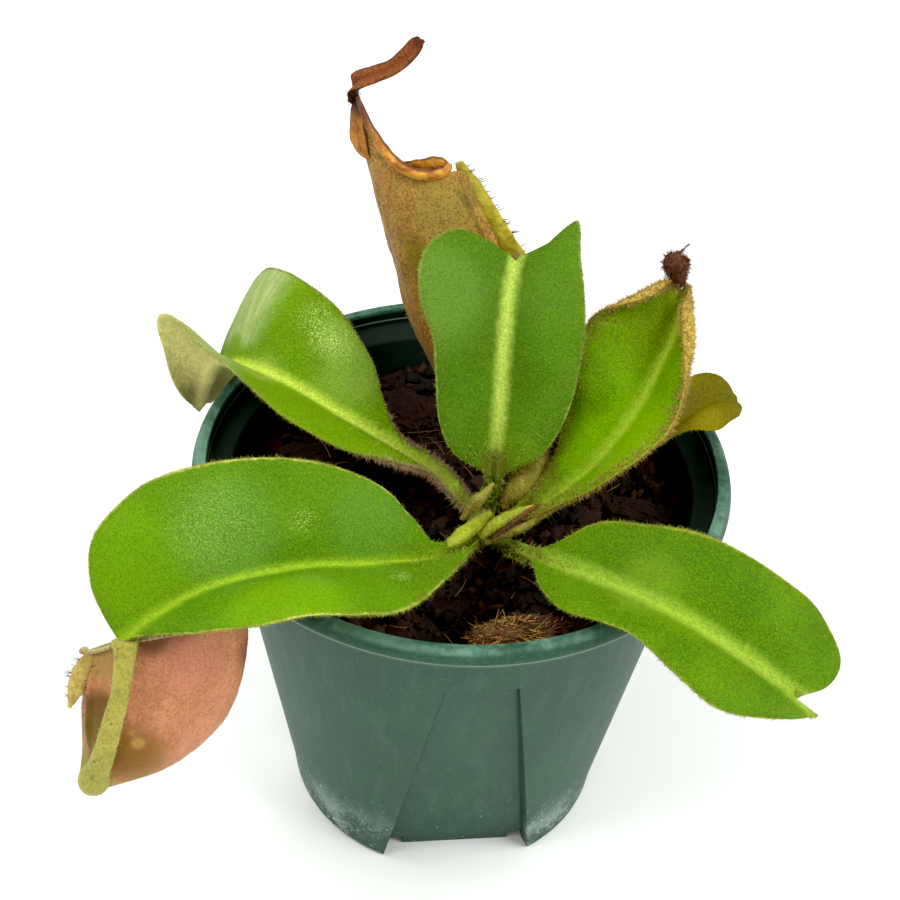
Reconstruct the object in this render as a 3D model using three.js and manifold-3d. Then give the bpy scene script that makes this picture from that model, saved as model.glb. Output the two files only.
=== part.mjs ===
// A potted pitcher plant. Six velvety leaves and a rolled young leaf grow round a short stem.
// One pitcher hangs from the front left leaf and a withered one stands behind the centre leaf.
// They grow in a round nursery pot with three recessed panels, filled with a coarse mix.
//
// Millimetres, +Z up. The origin is the centre of the pot's flat underside. The front faces -Y.

import * as THREE from "three";
import { mergeVertices } from "three/addons/utils/BufferGeometryUtils.js";
import Module from "manifold-3d";

const wasm = await Module();
wasm.setup();

// Driving dimensions, in millimetres and degrees

const GAP = 0.3; // clearance where two pieces touch

const pot = {
  height: 85.6,
  rimRadius: 51,
  rimEdgeHeight: 83.3, // the widest line of the rolled rim
  crestRadius: 49.3,
  mouthRadius: 48,
  wallTopHeight: 80,
  wallTopRadius: 45.2, // the wall's outside just under the rim
  footHeight: 6,
  footRadius: 33.3,
  baseRadius: 32.4,
  footBevel: 0.6,
  rimRound: 0.9, // how far the rim's edges are rounded
  ledge: 1.4, // the step inside the mouth, and how far the rim hangs over the wall
  wall: 1.2,
  floor: 1.6,
  sides: 60,
};
const PAST = 2; // how far a cut runs past the face that it opens

const panel = {
  count: 3,
  azimuth: 7.8, // the front panel's turn from -Y towards +X
  height: 67.5,
  footDistance: 25.8, // from the pot's axis to the flat of the panel, at the ground
  topDistance: 41.6,
  footHalfWidth: 14.2,
  topHalfWidth: 6.3,
  flare: 0.35, // how much wider the recess is at the wall's outside, per millimetre of depth
  depth: 12,
};

const drain = { width: 3.2, height: 3, floorHoleRadius: 3, floorHoleCircle: 15, holeSides: 16 };

const mix = {
  height: 74,
  bump: 1.1,
  waist: 40, // the height where the bed's side has one more ring, to follow the wall
  panelGap: 0.42, // clearance from the pot's panels, whose inner faces slope
  rings: [34, 24, 14], // radii of the rings that carry the bumps of its top
};

const stem = {
  path: [
    [4.6, -9.8, 60],
    [4.8, -10.4, 68],
    [5.2, -11.2, 75],
    [5.4, -11.2, 81.5],
  ],
  footRadius: 2.6,
  tipRadius: 1.7,
};

// Each root leaves the stem's foot at an angle round it and spreads outwards and down.
const roots = {
  angles: [20, 75, 140, 200, 262, 318],
  start: 3, // above the stem's foot
  reach: 20,
  drop: 34,
  uneven: 0.08, // how much shorter each next root of three is, as a share
  wander: 0.25, // sideways swing, in radians
  radius: 0.9,
  tip: 0.35,
};

// A leaf is a folded blade on a curved midrib. The midrib runs through the points of spine.
// A row of blade says, at t along the midrib, where the margins of the two halves lie:
// [t, left forward, left across, left rise, right forward, right across, right rise].
// Forward and across are millimetres from the midrib; rise is the fold, in degrees above level.
const leaves = {
  leaf_front_left: {
    spine: [
      [4.6, -13.2, 77.8],
      [-2.6, -28, 86],
      [-13, -35.7, 91],
      [-26, -40.8, 94],
      [-38.9, -44.9, 93],
      [-48.2, -49.4, 90],
      [-54.3, -52.6, 86],
    ],
    blade: [
      [0, 0, 2.6, 55, 0, 2.6, 68],
      [0.1, -0.5, 3.6, 40, -0.6, 3.2, 66],
      [0.2, -2, 6.2, 26, -1.2, 3.2, 60],
      [0.3, -4, 9.6, 16, -4.5, 7.4, 53],
      [0.4, -5.6, 14.4, 12, -6.8, 12.8, 50],
      [0.5, -6.6, 18, 16, -7.6, 16.4, 49],
      [0.6, -7.4, 17.5, 18, -7.5, 18.6, 48],
      [0.7, -5.3, 15, 12, -7.2, 19.5, 46],
      [0.8, -3.4, 10, 8, -4.6, 19.8, 42],
      [0.88, -1.8, 5.3, 4, -0.8, 16.9, 40],
      [0.94, -0.8, 2.3, 0, 1.3, 10.9, 36],
      [0.98, -0.6, 1.1, 0, 1.2, 5.3, 30],
      [1, -0.2, 0.8, 0, 0.6, 1.2, 25],
    ],
    arch: 0.07,
    colour: 0x6f9f2b,
  },
  leaf_back_left: {
    spine: [
      [3.9, -10, 77.6],
      [-3.9, -4.4, 83],
      [-11.9, -1.7, 87],
      [-22, 0.7, 92],
      [-34.4, 4.6, 97],
      [-44.3, 9.7, 96.5],
      [-49, 15.8, 90.8],
      [-53.8, 21.2, 77],
    ],
    blade: [
      [0, 0, 2.2, 50, 0, 2.2, 55],
      [0.1, 0, 2.4, 45, 0, 2.2, 50],
      [0.2, -0.5, 3.6, 36, 0.4, 2.3, 46],
      [0.3, -2, 9, 28, 0.6, 3, 40],
      [0.4, -1, 13.6, 22, -1.3, 7.4, 36],
      [0.5, -2.2, 14.2, 20, -5, 12.6, 35],
      [0.58, -5, 13, 20, -3.8, 17.2, 35],
      [0.65, -5.4, 10.4, 26, -2.3, 19.4, 35],
      [0.71, -3, 9, 42, -0.6, 20.6, 36],
      [0.76, 0, 10, 56, 2.6, 20.2, 44],
      [0.81, 1, 11.5, 62, 3, 17.2, 48],
      [0.86, 1, 13.8, 62, 1.2, 12.6, 38],
      [0.9, -1, 10.9, 50, 0, 9.6, 32],
      [0.95, -1, 7.2, 25, 0, 6.6, 24],
      [1, 1, 2.4, -10, 0.4, 2.4, 20],
    ],
    arch: 0.06,
    colour: 0x7ba632,
  },
  leaf_centre: {
    spine: [
      [5.6, -9.8, 81],
      [5.9, -7, 88],
      [6.1, -3.2, 97],
      [6.1, 3.4, 108],
      [6.5, 9.2, 115],
      [7.3, 14.8, 120],
    ],
    blade: [
      [0, 0, 1.8, 60, 0, 1.8, 60],
      [0.1, 0, 1.9, 55, 0, 1.9, 55],
      [0.2, -0.2, 2.9, 40, 0, 3.1, 40],
      [0.3, -0.8, 8.9, 28, 0.4, 9.3, 28],
      [0.4, 0, 12.1, 22, 1.1, 12.7, 22],
      [0.5, 1.1, 13.1, 20, 2.7, 14.6, 20],
      [0.6, 1.5, 14, 20, 5, 15.3, 20],
      [0.7, 1.6, 16.5, 20, 6.9, 14.4, 20],
      [0.8, 2.8, 17.6, 20, 8.8, 12.9, 20],
      [0.87, 4.5, 16.3, 20, 13.1, 11.2, 20],
      [0.93, 5.8, 12.3, 20, 7.4, 7.4, 20],
      [0.97, 4, 7, 20, 3.8, 3.9, 20],
      [1, 1.1, 2.5, 20, 1.4, 1, 20],
    ],
    arch: 0.08,
    colour: 0x66983a,
  },
  leaf_right: {
    spine: [
      [7.2, -12.6, 79.4],
      [13, -12.5, 83.5],
      [22.1, -9.5, 91],
      [28.8, -5.4, 99],
      [33.7, 1.7, 106],
      [36.8, 7.6, 112],
      [37.8, 13, 117],
    ],
    blade: [
      [0, 0, 1.8, 42, 0, 1.8, 40],
      [0.1, 0, 2.8, 48, 1.5, 4, 35],
      [0.2, 0, 4, 40, 2, 6.4, 28],
      [0.3, 1, 7.2, 32, 1.6, 8.6, 25],
      [0.4, 0, 11, 30, 0.8, 11, 28],
      [0.5, -0.4, 13.7, 30, -1.4, 11.8, 30],
      [0.6, -0.3, 15.5, 30, -4.5, 11.1, 32],
      [0.7, 1.2, 15.2, 30, -3.8, 9.8, 34],
      [0.8, 1.6, 11.6, 30, -2, 6.7, 36],
      [0.88, 2.4, 8, 30, -0.8, 4, 38],
      [0.94, 2.4, 4.7, 30, 0.4, 2.4, 38],
      [1, 1.2, 2, 30, 1, 0.8, 38],
    ],
    arch: 0.05,
    colour: 0x9cba2c,
  },
  leaf_front_right: {
    spine: [
      [7, -13, 75.8],
      [15, -25.5, 84],
      [26, -34.1, 88],
      [38.5, -41.5, 88],
      [50.8, -46.3, 83],
      [59, -47.9, 77],
    ],
    blade: [
      [0, 0, 1.8, 45, 0, 1.8, 45],
      [0.1, 0, 2, 52, 0, 2, 40],
      [0.2, -1.5, 2.4, 48, 1, 3.8, 22],
      [0.3, -4, 5.5, 42, -1.6, 8.3, 10],
      [0.4, -6, 9.7, 40, -2.5, 12, 8],
      [0.5, -6, 11.8, 40, -4.5, 11.6, 10],
      [0.6, -6.4, 13.8, 40, -6.2, 11, 10],
      [0.7, -6.4, 14.8, 38, -6, 14, 8],
      [0.8, -3.8, 15.2, 36, -5.9, 15.3, 5],
      [0.87, 1.5, 15, 34, -3.4, 11.7, 0],
      [0.93, 8.2, 11.7, 30, 1.7, 6.6, 0],
      [0.97, 6.9, 6.1, 28, 8.6, 0.8, 0],
      [1, 1.2, 1.3, 26, 1.9, 0.4, 0],
    ],
    arch: 0.07,
    colour: 0x7cb02c,
  },
  leaf_small_right: {
    spine: [
      [6.6, -10.2, 76.4],
      [15.1, -5.8, 79],
      [24.2, -1.7, 83],
      [33.4, 2.6, 87],
      [41.4, 8.7, 90],
      [47.4, 13.6, 91],
      [52.2, 17.8, 89],
    ],
    blade: [
      [0, 0, 1.6, 50, 0, 1.6, 40],
      [0.3, 0, 1.8, 45, 0, 1.8, 30],
      [0.5, 0, 2.4, 40, 0, 1.8, 25],
      [0.65, 0, 4.6, 40, 0, 3, 18],
      [0.75, 0.9, 6.2, 40, 0, 6, 10],
      [0.83, 0.6, 6.2, 40, 0, 7, 0],
      [0.9, 1.2, 4.6, 40, 0.8, 5.6, -5],
      [0.96, 1.8, 2.6, 35, 1.5, 3.2, -5],
      [1, 1.2, 0.6, 25, 1.2, 0.8, 0],
    ],
    arch: 0.05,
    colour: 0x8a8f2c,
  },
};
const leafThickness = { midrib: 1.5, margin: 0.8 };
const creaseSoftness = 0.12; // how far the fold is rounded, as a share of the half blade's width

// The young leaf is still rolled up, a spindle that leans to the right.
const youngLeaf = {
  path: [
    [7.7, -9, 82.2],
    [10.2, -6.6, 85.4],
    [12.8, -3.8, 88.6],
    [15, -0.6, 92.6],
  ],
  radii: [1, 2.4, 2.2, 0.5],
};

// A pitcher is a cup of rings, [x, y, z, radius front to back, radius sideways], square to its lean.
// Its front carries two wings; its mouth slants up to the neck at the back.
const pitchers = {
  pitcher_front_left: {
    rings: [
      [-60.6, -57.4, 54.2, 2, 2],
      [-58.6, -54.9, 54.8, 5, 4.2],
      [-55.1, -51.6, 56.5, 8.6, 6.8],
      [-51.9, -48.7, 61.5, 11.8, 8.4],
      [-49.9, -46, 68.5, 13.4, 8.8],
      [-48.9, -43.6, 76, 13.6, 8.2],
      [-48.9, -42.2, 83.6, 12.8, 7.2],
    ],
    lean: [0.12, 0.3, 0.94],
    front: [-0.95, -0.25, 0.1],
    neck: 4,
    dip: 12,
    dipSharpness: 2.5,
    lip: 1.06,
    wing: { from: 0.42, to: 0.86, width: 3.2 },
    colour: 0xb87a5c,
  },
  pitcher_centre: {
    rings: [
      [0.8, 20.7, 80.4, 2, 2],
      [0.2, 23, 85.5, 5.4, 4.6],
      [-3.1, 26.4, 97, 9, 7],
      [-6.8, 27.6, 110, 10, 6.8],
      [-10, 28.4, 121, 9.6, 5],
      [-12.8, 29, 130, 9.2, 2.6],
    ],
    lean: [-0.28, 0.1, 0.95],
    front: [0.9, -0.42, 0.1],
    neck: 13,
    dip: 1.5,
    dipSharpness: 1,
    lip: 1.1,
    wing: { from: 0.28, to: 0.95, width: 3.4 },
    colour: 0x97743a,
  },
};
const pitcherWall = 0.9; // the inner radius as a share of the outer one
const mouthStart = 0.7; // the share of the cup's height above which its mouth slants
const neckSharpness = 6; // how narrow the rise of the mouth to the neck is

// The cup's corners, in degrees round it from the back. Two of them are the edges of the wings.
const cupTurns = [0, 22, 44, 66, 88, 110, 131, 150, 155, 160, 180, 200, 205, 210, 229, 250, 272, 294, 316, 338];
const wingTurns = [155, 205];

// Tendrils and the dried leaf tip: a path, and the radius at evenly spaced places along it.
const strands = {
  tendril_front_left: {
    path: [
      [-54.3, -53.4, 84.9],
      [-54.3, -55.3, 81.8],
      [-55.6, -57.3, 75.8],
      [-57.2, -59.1, 69.7],
      [-58.8, -60.3, 64.6],
      [-60.2, -60.9, 60.8],
      [-60.9, -60, 57.8],
    ],
    radii: [1.3, 1.4, 1.6, 1.9],
    colour: 0x9a9a4a,
  },
  tendril_centre: {
    path: [
      [7.4, 16.3, 119],
      [8.6, 19.8, 116],
      [10, 20.4, 106],
      [9.4, 20, 96],
      [7, 19.4, 86],
      [4, 19, 79],
      [1.8, 19.3, 77.6],
      [0.9, 20.4, 79.1],
    ],
    radii: [1, 0.9, 0.9, 1.2],
    colour: 0x8d8440,
  },
  dried_tip_right: {
    path: [
      [38, 13.9, 118.7],
      [36.6, 13.8, 121],
      [35.9, 13.4, 122.9],
      [36.5, 13.6, 124.6],
      [38, 14.1, 126.2],
    ],
    radii: [0.9, 2.3, 2.2, 1, 0.3],
    colour: 0x5c3220,
  },
};

// Lids are small blades, written as the leaves are.
const lids = {
  lid_front_left: {
    spine: [
      [-37.2, -38.2, 87],
      [-40.6, -37.2, 89],
      [-46, -36, 90.6],
      [-52, -35.8, 90],
      [-56.6, -36.2, 87.6],
    ],
    blade: [
      [0, 0, 1.6, 20, 0, 1.6, 20],
      [0.25, 0, 6.4, 0, 0, 6.4, 0],
      [0.5, 0, 8.4, -8, 0, 8.4, -8],
      [0.75, 0, 7.6, -10, 0, 7.6, -10],
      [0.93, 0.6, 4.4, -10, 0.6, 4.4, -10],
      [1, 0.6, 1.4, -10, 0.6, 1.4, -10],
    ],
    arch: 0.04,
    colour: 0xa86a4a,
  },
  lid_centre: {
    spine: [
      [-24.5, 33.2, 140.2],
      [-23.4, 31, 145],
      [-20, 30.6, 147],
      [-16.8, 30, 149],
      [-14.2, 30.6, 151.4],
      [-12.2, 31.2, 154.2],
    ],
    blade: [
      [0, 0, 1.2, 60, 0, 1, -30],
      [0.2, 0, 2.6, 70, 0, 2.4, -40],
      [0.4, -0.6, 2.6, 60, 0.6, 2.4, -50],
      [0.6, 0, 2.2, 40, 0, 2.2, -60],
      [0.8, 0, 2, 20, 0, 2, -50],
      [0.93, 0, 1.7, 0, 0, 1.7, -40],
      [1, 0, 0.8, 0, 0, 0.8, -30],
    ],
    arch: 0.1,
    colour: 0x6e3a22,
  },
};

const chipRoughness = 0.1; // the height of a chip's bumps, as a share of its size

// Husk and bark chips lie in the mix: [x, y, z] of the middle, half sizes, and turn about +Z.
const chips = {
  husk_chip_front: { at: [12.6, -35.6, 74.6], half: [9.4, 4, 3], turn: 12, colour: 0x8a6a3c },
  bark_chip_back: { at: [-12.5, 24.5, 74.4], half: [7.5, 6, 3], turn: -30, colour: 0x5a3422 },
  bark_chip_left: { at: [-31, 9, 74], half: [6.5, 4.5, 2.4], turn: 25, colour: 0x4a2c1e },
  bark_chip_right: { at: [34.5, -1.5, 74], half: [7, 3.6, 2.2], turn: -18, colour: 0x4a2c1e },
};

// Shape helpers

// A point on the smooth curve through evenly spaced rows of numbers, for u from 0 to 1
function glide(rows, u) {
  const last = rows.length - 1;
  const at = THREE.MathUtils.clamp(u, 0, 1) * last;
  const i = Math.min(Math.floor(at), last - 1);
  const w = at - i;
  const here = rows[i];
  const next = rows[i + 1];
  return here.map((value, k) => {
    const before = i > 0 ? rows[i - 1][k] : 2 * value - next[k];
    const after = i + 2 <= last ? rows[i + 2][k] : 2 * next[k] - value;
    const leaving = (next[k] - before) / 2;
    const arriving = (after - value) / 2;
    const rest = 3 * (next[k] - value) - 2 * leaving - arriving;
    const turn = 2 * (value - next[k]) + leaving + arriving;
    return value + w * (leaving + w * (rest + w * turn));
  });
}

function pointOn(rows, u) {
  return new THREE.Vector3(...glide(rows, u));
}

function directionOn(rows, u) {
  const step = 0.01;
  const behind = pointOn(rows, Math.max(u - step, 0));
  return pointOn(rows, Math.min(u + step, 1)).sub(behind).normalize();
}

// Moves every vertex of a geometry to where place(x, y, z) puts it
function reshape(geometry, place) {
  const position = geometry.getAttribute("position");
  for (let i = 0; i < position.count; i++) {
    const p = place(position.getX(i), position.getY(i), position.getZ(i));
    position.setXYZ(i, p.x, p.y, p.z);
  }
  return geometry;
}

// A closed geometry as a solid that can be joined and cut
function solid(geometry) {
  const bare = geometry.clone();
  for (const name of Object.keys(bare.attributes)) {
    if (name !== "position") bare.deleteAttribute(name);
  }
  const merged = mergeVertices(bare, 1e-3);
  return new wasm.Manifold(
    new wasm.Mesh({
      numProp: 3,
      vertProperties: merged.attributes.position.array,
      triVerts: new Uint32Array(merged.index.array),
    }),
  );
}

function geometryOf(body) {
  const mesh = body.getMesh();
  const geometry = new THREE.BufferGeometry();
  geometry.setAttribute("position", new THREE.BufferAttribute(mesh.vertProperties, 3));
  geometry.setIndex(new THREE.BufferAttribute(mesh.triVerts, 1));
  geometry.computeVertexNormals();
  return geometry;
}

// A profile of [radius, height] points turned about +Z
function turned(profile, sides) {
  const points = profile.map(([radius, height]) => new THREE.Vector2(radius, height));
  return new THREE.LatheGeometry(points, sides).rotateX(Math.PI / 2);
}

const plant = new THREE.Group();

function addPiece(name, geometry, colour, roughness = 0.8) {
  const material = new THREE.MeshStandardMaterial({ color: colour, roughness, metalness: 0 });
  const mesh = new THREE.Mesh(geometry, material);
  mesh.name = name;
  plant.add(mesh);
}

// The pot

function wallRadius(height) {
  const share = (height - pot.footHeight) / (pot.wallTopHeight - pot.footHeight);
  return THREE.MathUtils.lerp(pot.footRadius, pot.wallTopRadius, share);
}

// The block that a panel's recess takes out of the wall, grown on all its faces
function recess(index, grown) {
  const low = -PAST;
  const block = new THREE.BoxGeometry(2, 1, 1).translate(0, 0.5, 0.5);
  reshape(block, (x, y, z) => {
    const height = THREE.MathUtils.lerp(low, panel.height + grown, y);
    const share = height / panel.height;
    const outwards = z * panel.depth;
    const half = THREE.MathUtils.lerp(panel.footHalfWidth, panel.topHalfWidth, share);
    const distance = THREE.MathUtils.lerp(panel.footDistance, panel.topDistance, share);
    const width = half + grown + panel.flare * outwards;
    return new THREE.Vector3(x * width, grown - distance - outwards, height);
  });
  const turn = panel.azimuth + (index * 360) / panel.count;
  return solid(block.rotateZ(THREE.MathUtils.degToRad(turn)));
}

function recesses(grown) {
  return [...Array(panel.count).keys()].map((index) => recess(index, grown));
}

// A drain slot in each lower corner of a recess, and round holes in the floor between the panels
function drains() {
  const cuts = [];
  for (let index = 0; index < panel.count; index++) {
    const turn = THREE.MathUtils.degToRad(panel.azimuth + (index * 360) / panel.count);
    for (const side of [-1, 1]) {
      const slot = new THREE.BoxGeometry(drain.width, 3 * drain.width, 2 * drain.height);
      slot.translate(side * (panel.footHalfWidth - drain.width / 2), -panel.footDistance, 0);
      cuts.push(solid(slot.rotateZ(turn)));
    }
    const radius = drain.floorHoleRadius;
    const through = 2 * (pot.floor + PAST);
    const hole = new THREE.CylinderGeometry(radius, radius, through, drain.holeSides);
    hole.rotateX(Math.PI / 2).translate(0, drain.floorHoleCircle, 0);
    cuts.push(solid(hole.rotateZ(turn)));
  }
  return cuts;
}

function buildPot() {
  const outside = [
    [0, 0],
    [pot.baseRadius, 0],
    [pot.baseRadius + pot.footBevel, pot.footBevel],
    [pot.footRadius, pot.footHeight],
    [pot.wallTopRadius, pot.wallTopHeight],
    [pot.rimRadius - pot.ledge, pot.wallTopHeight + pot.rimRound],
    [pot.rimRadius - pot.rimRound / 4, pot.rimEdgeHeight - pot.rimRound],
    [pot.rimRadius, pot.rimEdgeHeight],
    [pot.rimRadius - pot.rimRound / 2, pot.height - pot.rimRound],
    [pot.crestRadius, pot.height],
    [pot.mouthRadius + pot.rimRound / 2, pot.height - pot.rimRound / 4],
    [0, pot.height - pot.rimRound / 4],
  ];
  const inside = [
    [0, pot.floor],
    [wallRadius(pot.floor) - pot.wall, pot.floor],
    [pot.wallTopRadius - pot.wall, pot.wallTopHeight + pot.rimRound / 2],
    [pot.mouthRadius, pot.wallTopHeight + pot.ledge],
    [pot.mouthRadius, pot.height - pot.rimRound],
    [pot.mouthRadius + pot.rimRound, pot.height + PAST],
    [0, pot.height + PAST],
  ];
  let shell = solid(turned(outside, pot.sides));
  let hollow = solid(turned(inside, pot.sides));
  recesses(0).forEach((cut) => {
    shell = shell.subtract(cut);
  });
  recesses(pot.wall).forEach((cut) => {
    hollow = hollow.subtract(cut);
  });
  shell = shell.subtract(hollow);
  drains().forEach((cut) => {
    shell = shell.subtract(cut);
  });
  addPiece("pot", geometryOf(shell), 0x2f6a50, 0.5);
}

// Strands: tendrils, stem, roots, the rolled leaf

function strand(path, radii, sides, steps, grown = 0) {
  const tube = new THREE.CylinderGeometry(1, 1, 1, sides, steps).translate(0, 0.5, 0);
  const start = directionOn(path, 0);
  const end = directionOn(path, 1);
  return reshape(tube, (x, y, z) => {
    const forward = directionOn(path, y);
    const aside = new THREE.Vector3(0.3, 1, 0.2).cross(forward).normalize();
    const up = forward.clone().cross(aside);
    const radius = glide(radii.map((value) => [value]), y)[0] + grown;
    const p = pointOn(path, y).addScaledVector(up, x * radius).addScaledVector(aside, z * radius);
    if (y < 1e-6) p.addScaledVector(start, -grown);
    if (y > 1 - 1e-6) p.addScaledVector(end, grown);
    return p;
  });
}

function rootPath(angle, index) {
  const turn = THREE.MathUtils.degToRad(angle);
  const [x, y, z] = stem.path[0];
  const reach = roots.reach * (1 - roots.uneven * (index % 3));
  return [0, 0.3, 0.65, 1].map((share) => {
    const out = 1 + reach * share ** 0.7;
    const wander = roots.wander * Math.sin(3 * share + index);
    const height = z + roots.start - roots.drop * share ** 1.4;
    return [x + out * Math.cos(turn + wander), y + out * Math.sin(turn + wander), height];
  });
}

function buildStemSolid(grown) {
  const radii = [stem.footRadius, stem.footRadius, stem.tipRadius];
  let body = solid(strand(stem.path, radii, 10, 5, grown));
  roots.angles.forEach((angle, index) => {
    const taper = [roots.radius, roots.radius, roots.tip];
    body = body.add(solid(strand(rootPath(angle, index), taper, 6, 4, grown)));
  });
  return body;
}

// Leaves and lids

function midribFrame(spine, t) {
  const forward = directionOn(spine, t);
  const level = new THREE.Vector3(forward.y, -forward.x, 0).normalize();
  const lift = level.clone().cross(forward);
  return { middle: pointOn(spine, t), forward, level, lift };
}

// The upper face of a blade: u runs from the stem to the tip, v from the left margin to the right
function bladePoint({ spine, blade, arch }, u, v) {
  const row = glide(blade, u);
  const { middle, forward, level, lift } = midribFrame(spine, row[0]);
  const side = v < 0 ? -1 : 1;
  const [ahead, across, rise] = v < 0 ? row.slice(1, 4) : row.slice(4, 7);
  const q = Math.abs(v);
  const fold = THREE.MathUtils.degToRad(rise);
  const round = Math.hypot(1, creaseSoftness) - creaseSoftness;
  const crease = (Math.hypot(q, creaseSoftness) - creaseSoftness) / round;
  const hump = 4 * arch * across * q * (1 - q);
  return middle
    .addScaledVector(forward, ahead * q)
    .addScaledVector(level, side * (across * Math.cos(fold) * q - hump * Math.sin(fold)))
    .addScaledVector(lift, across * Math.sin(fold) * crease + hump * Math.cos(fold));
}

function bladeSolid(leaf, across, along) {
  const slab = new THREE.BoxGeometry(2, 1, 1, across, along, 1).translate(0, 0.5, -0.5);
  return reshape(slab, (v, u, below) => {
    const step = 0.004;
    const du = bladePoint(leaf, Math.min(u + step, 1), v);
    du.sub(bladePoint(leaf, Math.max(u - step, 0), v));
    const dv = bladePoint(leaf, u, Math.min(v + step, 1));
    dv.sub(bladePoint(leaf, u, Math.max(v - step, -1)));
    const normal = dv.cross(du).normalize();
    const { midrib, margin } = leafThickness;
    const thickness = THREE.MathUtils.lerp(midrib, margin, Math.min(2 * Math.abs(v), 1));
    return bladePoint(leaf, u, v).addScaledVector(normal, below * thickness);
  });
}

// Pitchers

// A place on the cup: height 0 to 1, turn from the back in degrees, share of the ring's radius
function cupPoint(pitcher, height, turn, share) {
  const { rings, neck, dip, dipSharpness, wing } = pitcher;
  const angle = THREE.MathUtils.degToRad(turn);
  const slant = THREE.MathUtils.smoothstep(height, mouthStart, 1);
  const back = (1 + Math.cos(angle)) / 2;
  const climb = slant * (neck * back ** neckSharpness - dip * (1 - back) ** dipSharpness);
  const along = THREE.MathUtils.clamp((height - wing.from) / (wing.to - wing.from), 0, 1);
  const hasWing = wingTurns.includes(turn) && share >= 1;
  const extra = hasWing ? wing.width * Math.sin(Math.PI * along) ** 0.5 : 0;
  const [x, y, z, deep, wide] = glide(rings, height);
  const forward = new THREE.Vector3(...pitcher.lean).normalize();
  const aside = new THREE.Vector3(...pitcher.front).cross(forward).normalize();
  const front = forward.clone().cross(aside);
  return new THREE.Vector3(x, y, z)
    .addScaledVector(front, -Math.cos(angle) * (deep * share + extra))
    .addScaledVector(aside, Math.sin(angle) * (wide * share + extra))
    .addScaledVector(forward, climb);
}

function buildPitcher(name, pitcher) {
  const wall = pitcherWall;
  const profile = [
    [0, 0],
    [1, 0],
    [1, 0.12],
    [1, 0.28],
    [1, 0.4],
    [1, 0.52],
    [1, 0.64],
    [1, 0.76],
    [1, 0.87],
    [1, 0.95],
    [pitcher.lip, 0.97],
    [pitcher.lip + 0.02, 1],
    [wall, 1],
    [wall, 0.9],
    [wall, 0.74],
    [wall, 0.58],
    [wall, 0.42],
    [wall, 0.26],
    [wall - 0.1, 0.16],
    [0, 0.14],
  ];
  const corners = cupTurns.length;
  const cup = reshape(turned(profile, corners), (x, y, height) => {
    const corner = Math.round((Math.atan2(y, x) / (2 * Math.PI)) * corners + corners) % corners;
    return cupPoint(pitcher, height, cupTurns[corner], Math.hypot(x, y));
  });
  addPiece(name, geometryOf(solid(cup)), pitcher.colour);
}

// The potting mix and the chips in it

function mixBumps(x, y) {
  return mix.bump * (Math.sin(0.31 * x + 0.9) * Math.cos(0.27 * y) + 0.5 * Math.sin(0.6 * y - 0.4 * x));
}

function chipSolid({ at, half, turn }, grown) {
  const lump = new THREE.IcosahedronGeometry(1, 1);
  reshape(lump, (x, y, z) => {
    const rough = 1 + chipRoughness * (Math.sin(5 * x + 3 * y) + Math.cos(6 * z - 4 * y));
    const [a, b, c] = half.map((value) => value * rough + grown);
    return new THREE.Vector3(x * a, y * b, z * c);
  });
  lump.rotateZ(THREE.MathUtils.degToRad(turn)).translate(...at);
  return solid(lump);
}

function buildMix(stemHole) {
  const low = pot.floor + GAP;
  const radiusAt = (height) => wallRadius(height) - pot.wall - GAP;
  const profile = [
    [0, low],
    [radiusAt(low), low],
    [radiusAt(mix.waist), mix.waist],
    [radiusAt(mix.height), mix.height],
    ...mix.rings.map((radius) => [radius, mix.height]),
    [0, mix.height],
  ];
  const bed = reshape(turned(profile, pot.sides), (x, y, z) => {
    const lift = z > mix.height - 1 ? mixBumps(x, y) : 0;
    return new THREE.Vector3(x, y, z + lift);
  });
  let body = solid(bed);
  recesses(pot.wall + mix.panelGap).forEach((cut) => {
    body = body.subtract(cut);
  });
  Object.values(chips).forEach((chip) => {
    body = body.subtract(chipSolid(chip, GAP));
  });
  addPiece("potting_mix", geometryOf(body.subtract(stemHole)), 0x35221a, 0.95);
}

// The whole plant

const stemHole = buildStemSolid(GAP);
buildPot();
buildMix(stemHole);
addPiece("stem", geometryOf(buildStemSolid(0)), 0x6a7a30);
for (const [name, chip] of Object.entries(chips)) {
  addPiece(name, geometryOf(chipSolid(chip, 0)), chip.colour, 0.95);
}
for (const [name, leaf] of Object.entries(leaves)) {
  const blade = solid(bladeSolid(leaf, 6, 18)).subtract(stemHole);
  addPiece(name, geometryOf(blade), leaf.colour);
}
for (const [name, lid] of Object.entries(lids)) {
  addPiece(name, bladeSolid(lid, 4, 9), lid.colour);
}
for (const [name, pitcher] of Object.entries(pitchers)) {
  buildPitcher(name, pitcher);
}
for (const [name, { path, radii, colour }] of Object.entries(strands)) {
  addPiece(name, strand(path, radii, 8, 14), colour);
}
addPiece("young_leaf", strand(youngLeaf.path, youngLeaf.radii, 10, 8), 0x6f7a2e);

export default plant;
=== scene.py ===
# %% [markdown]
# # A potted pitcher plant
#
# The object is a young pitcher plant in a green nursery pot. It has six velvety leaves, a rolled young
# leaf, one pitcher that hangs from a leaf and one that has withered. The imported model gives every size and
# place. This lesson makes each visible piece again at a finer scale, gives it a finish, and lights it
# softly on a pale floor.
#
# The frame is loaded first, because every piece is placed in it. Lengths in the tables are millimetres, as
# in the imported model's source, and each mesh is written in metres, which is Blender's unit.

import math

import bmesh
import bpy
import numpy as np
from mathutils import Matrix, Vector, noise


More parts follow.
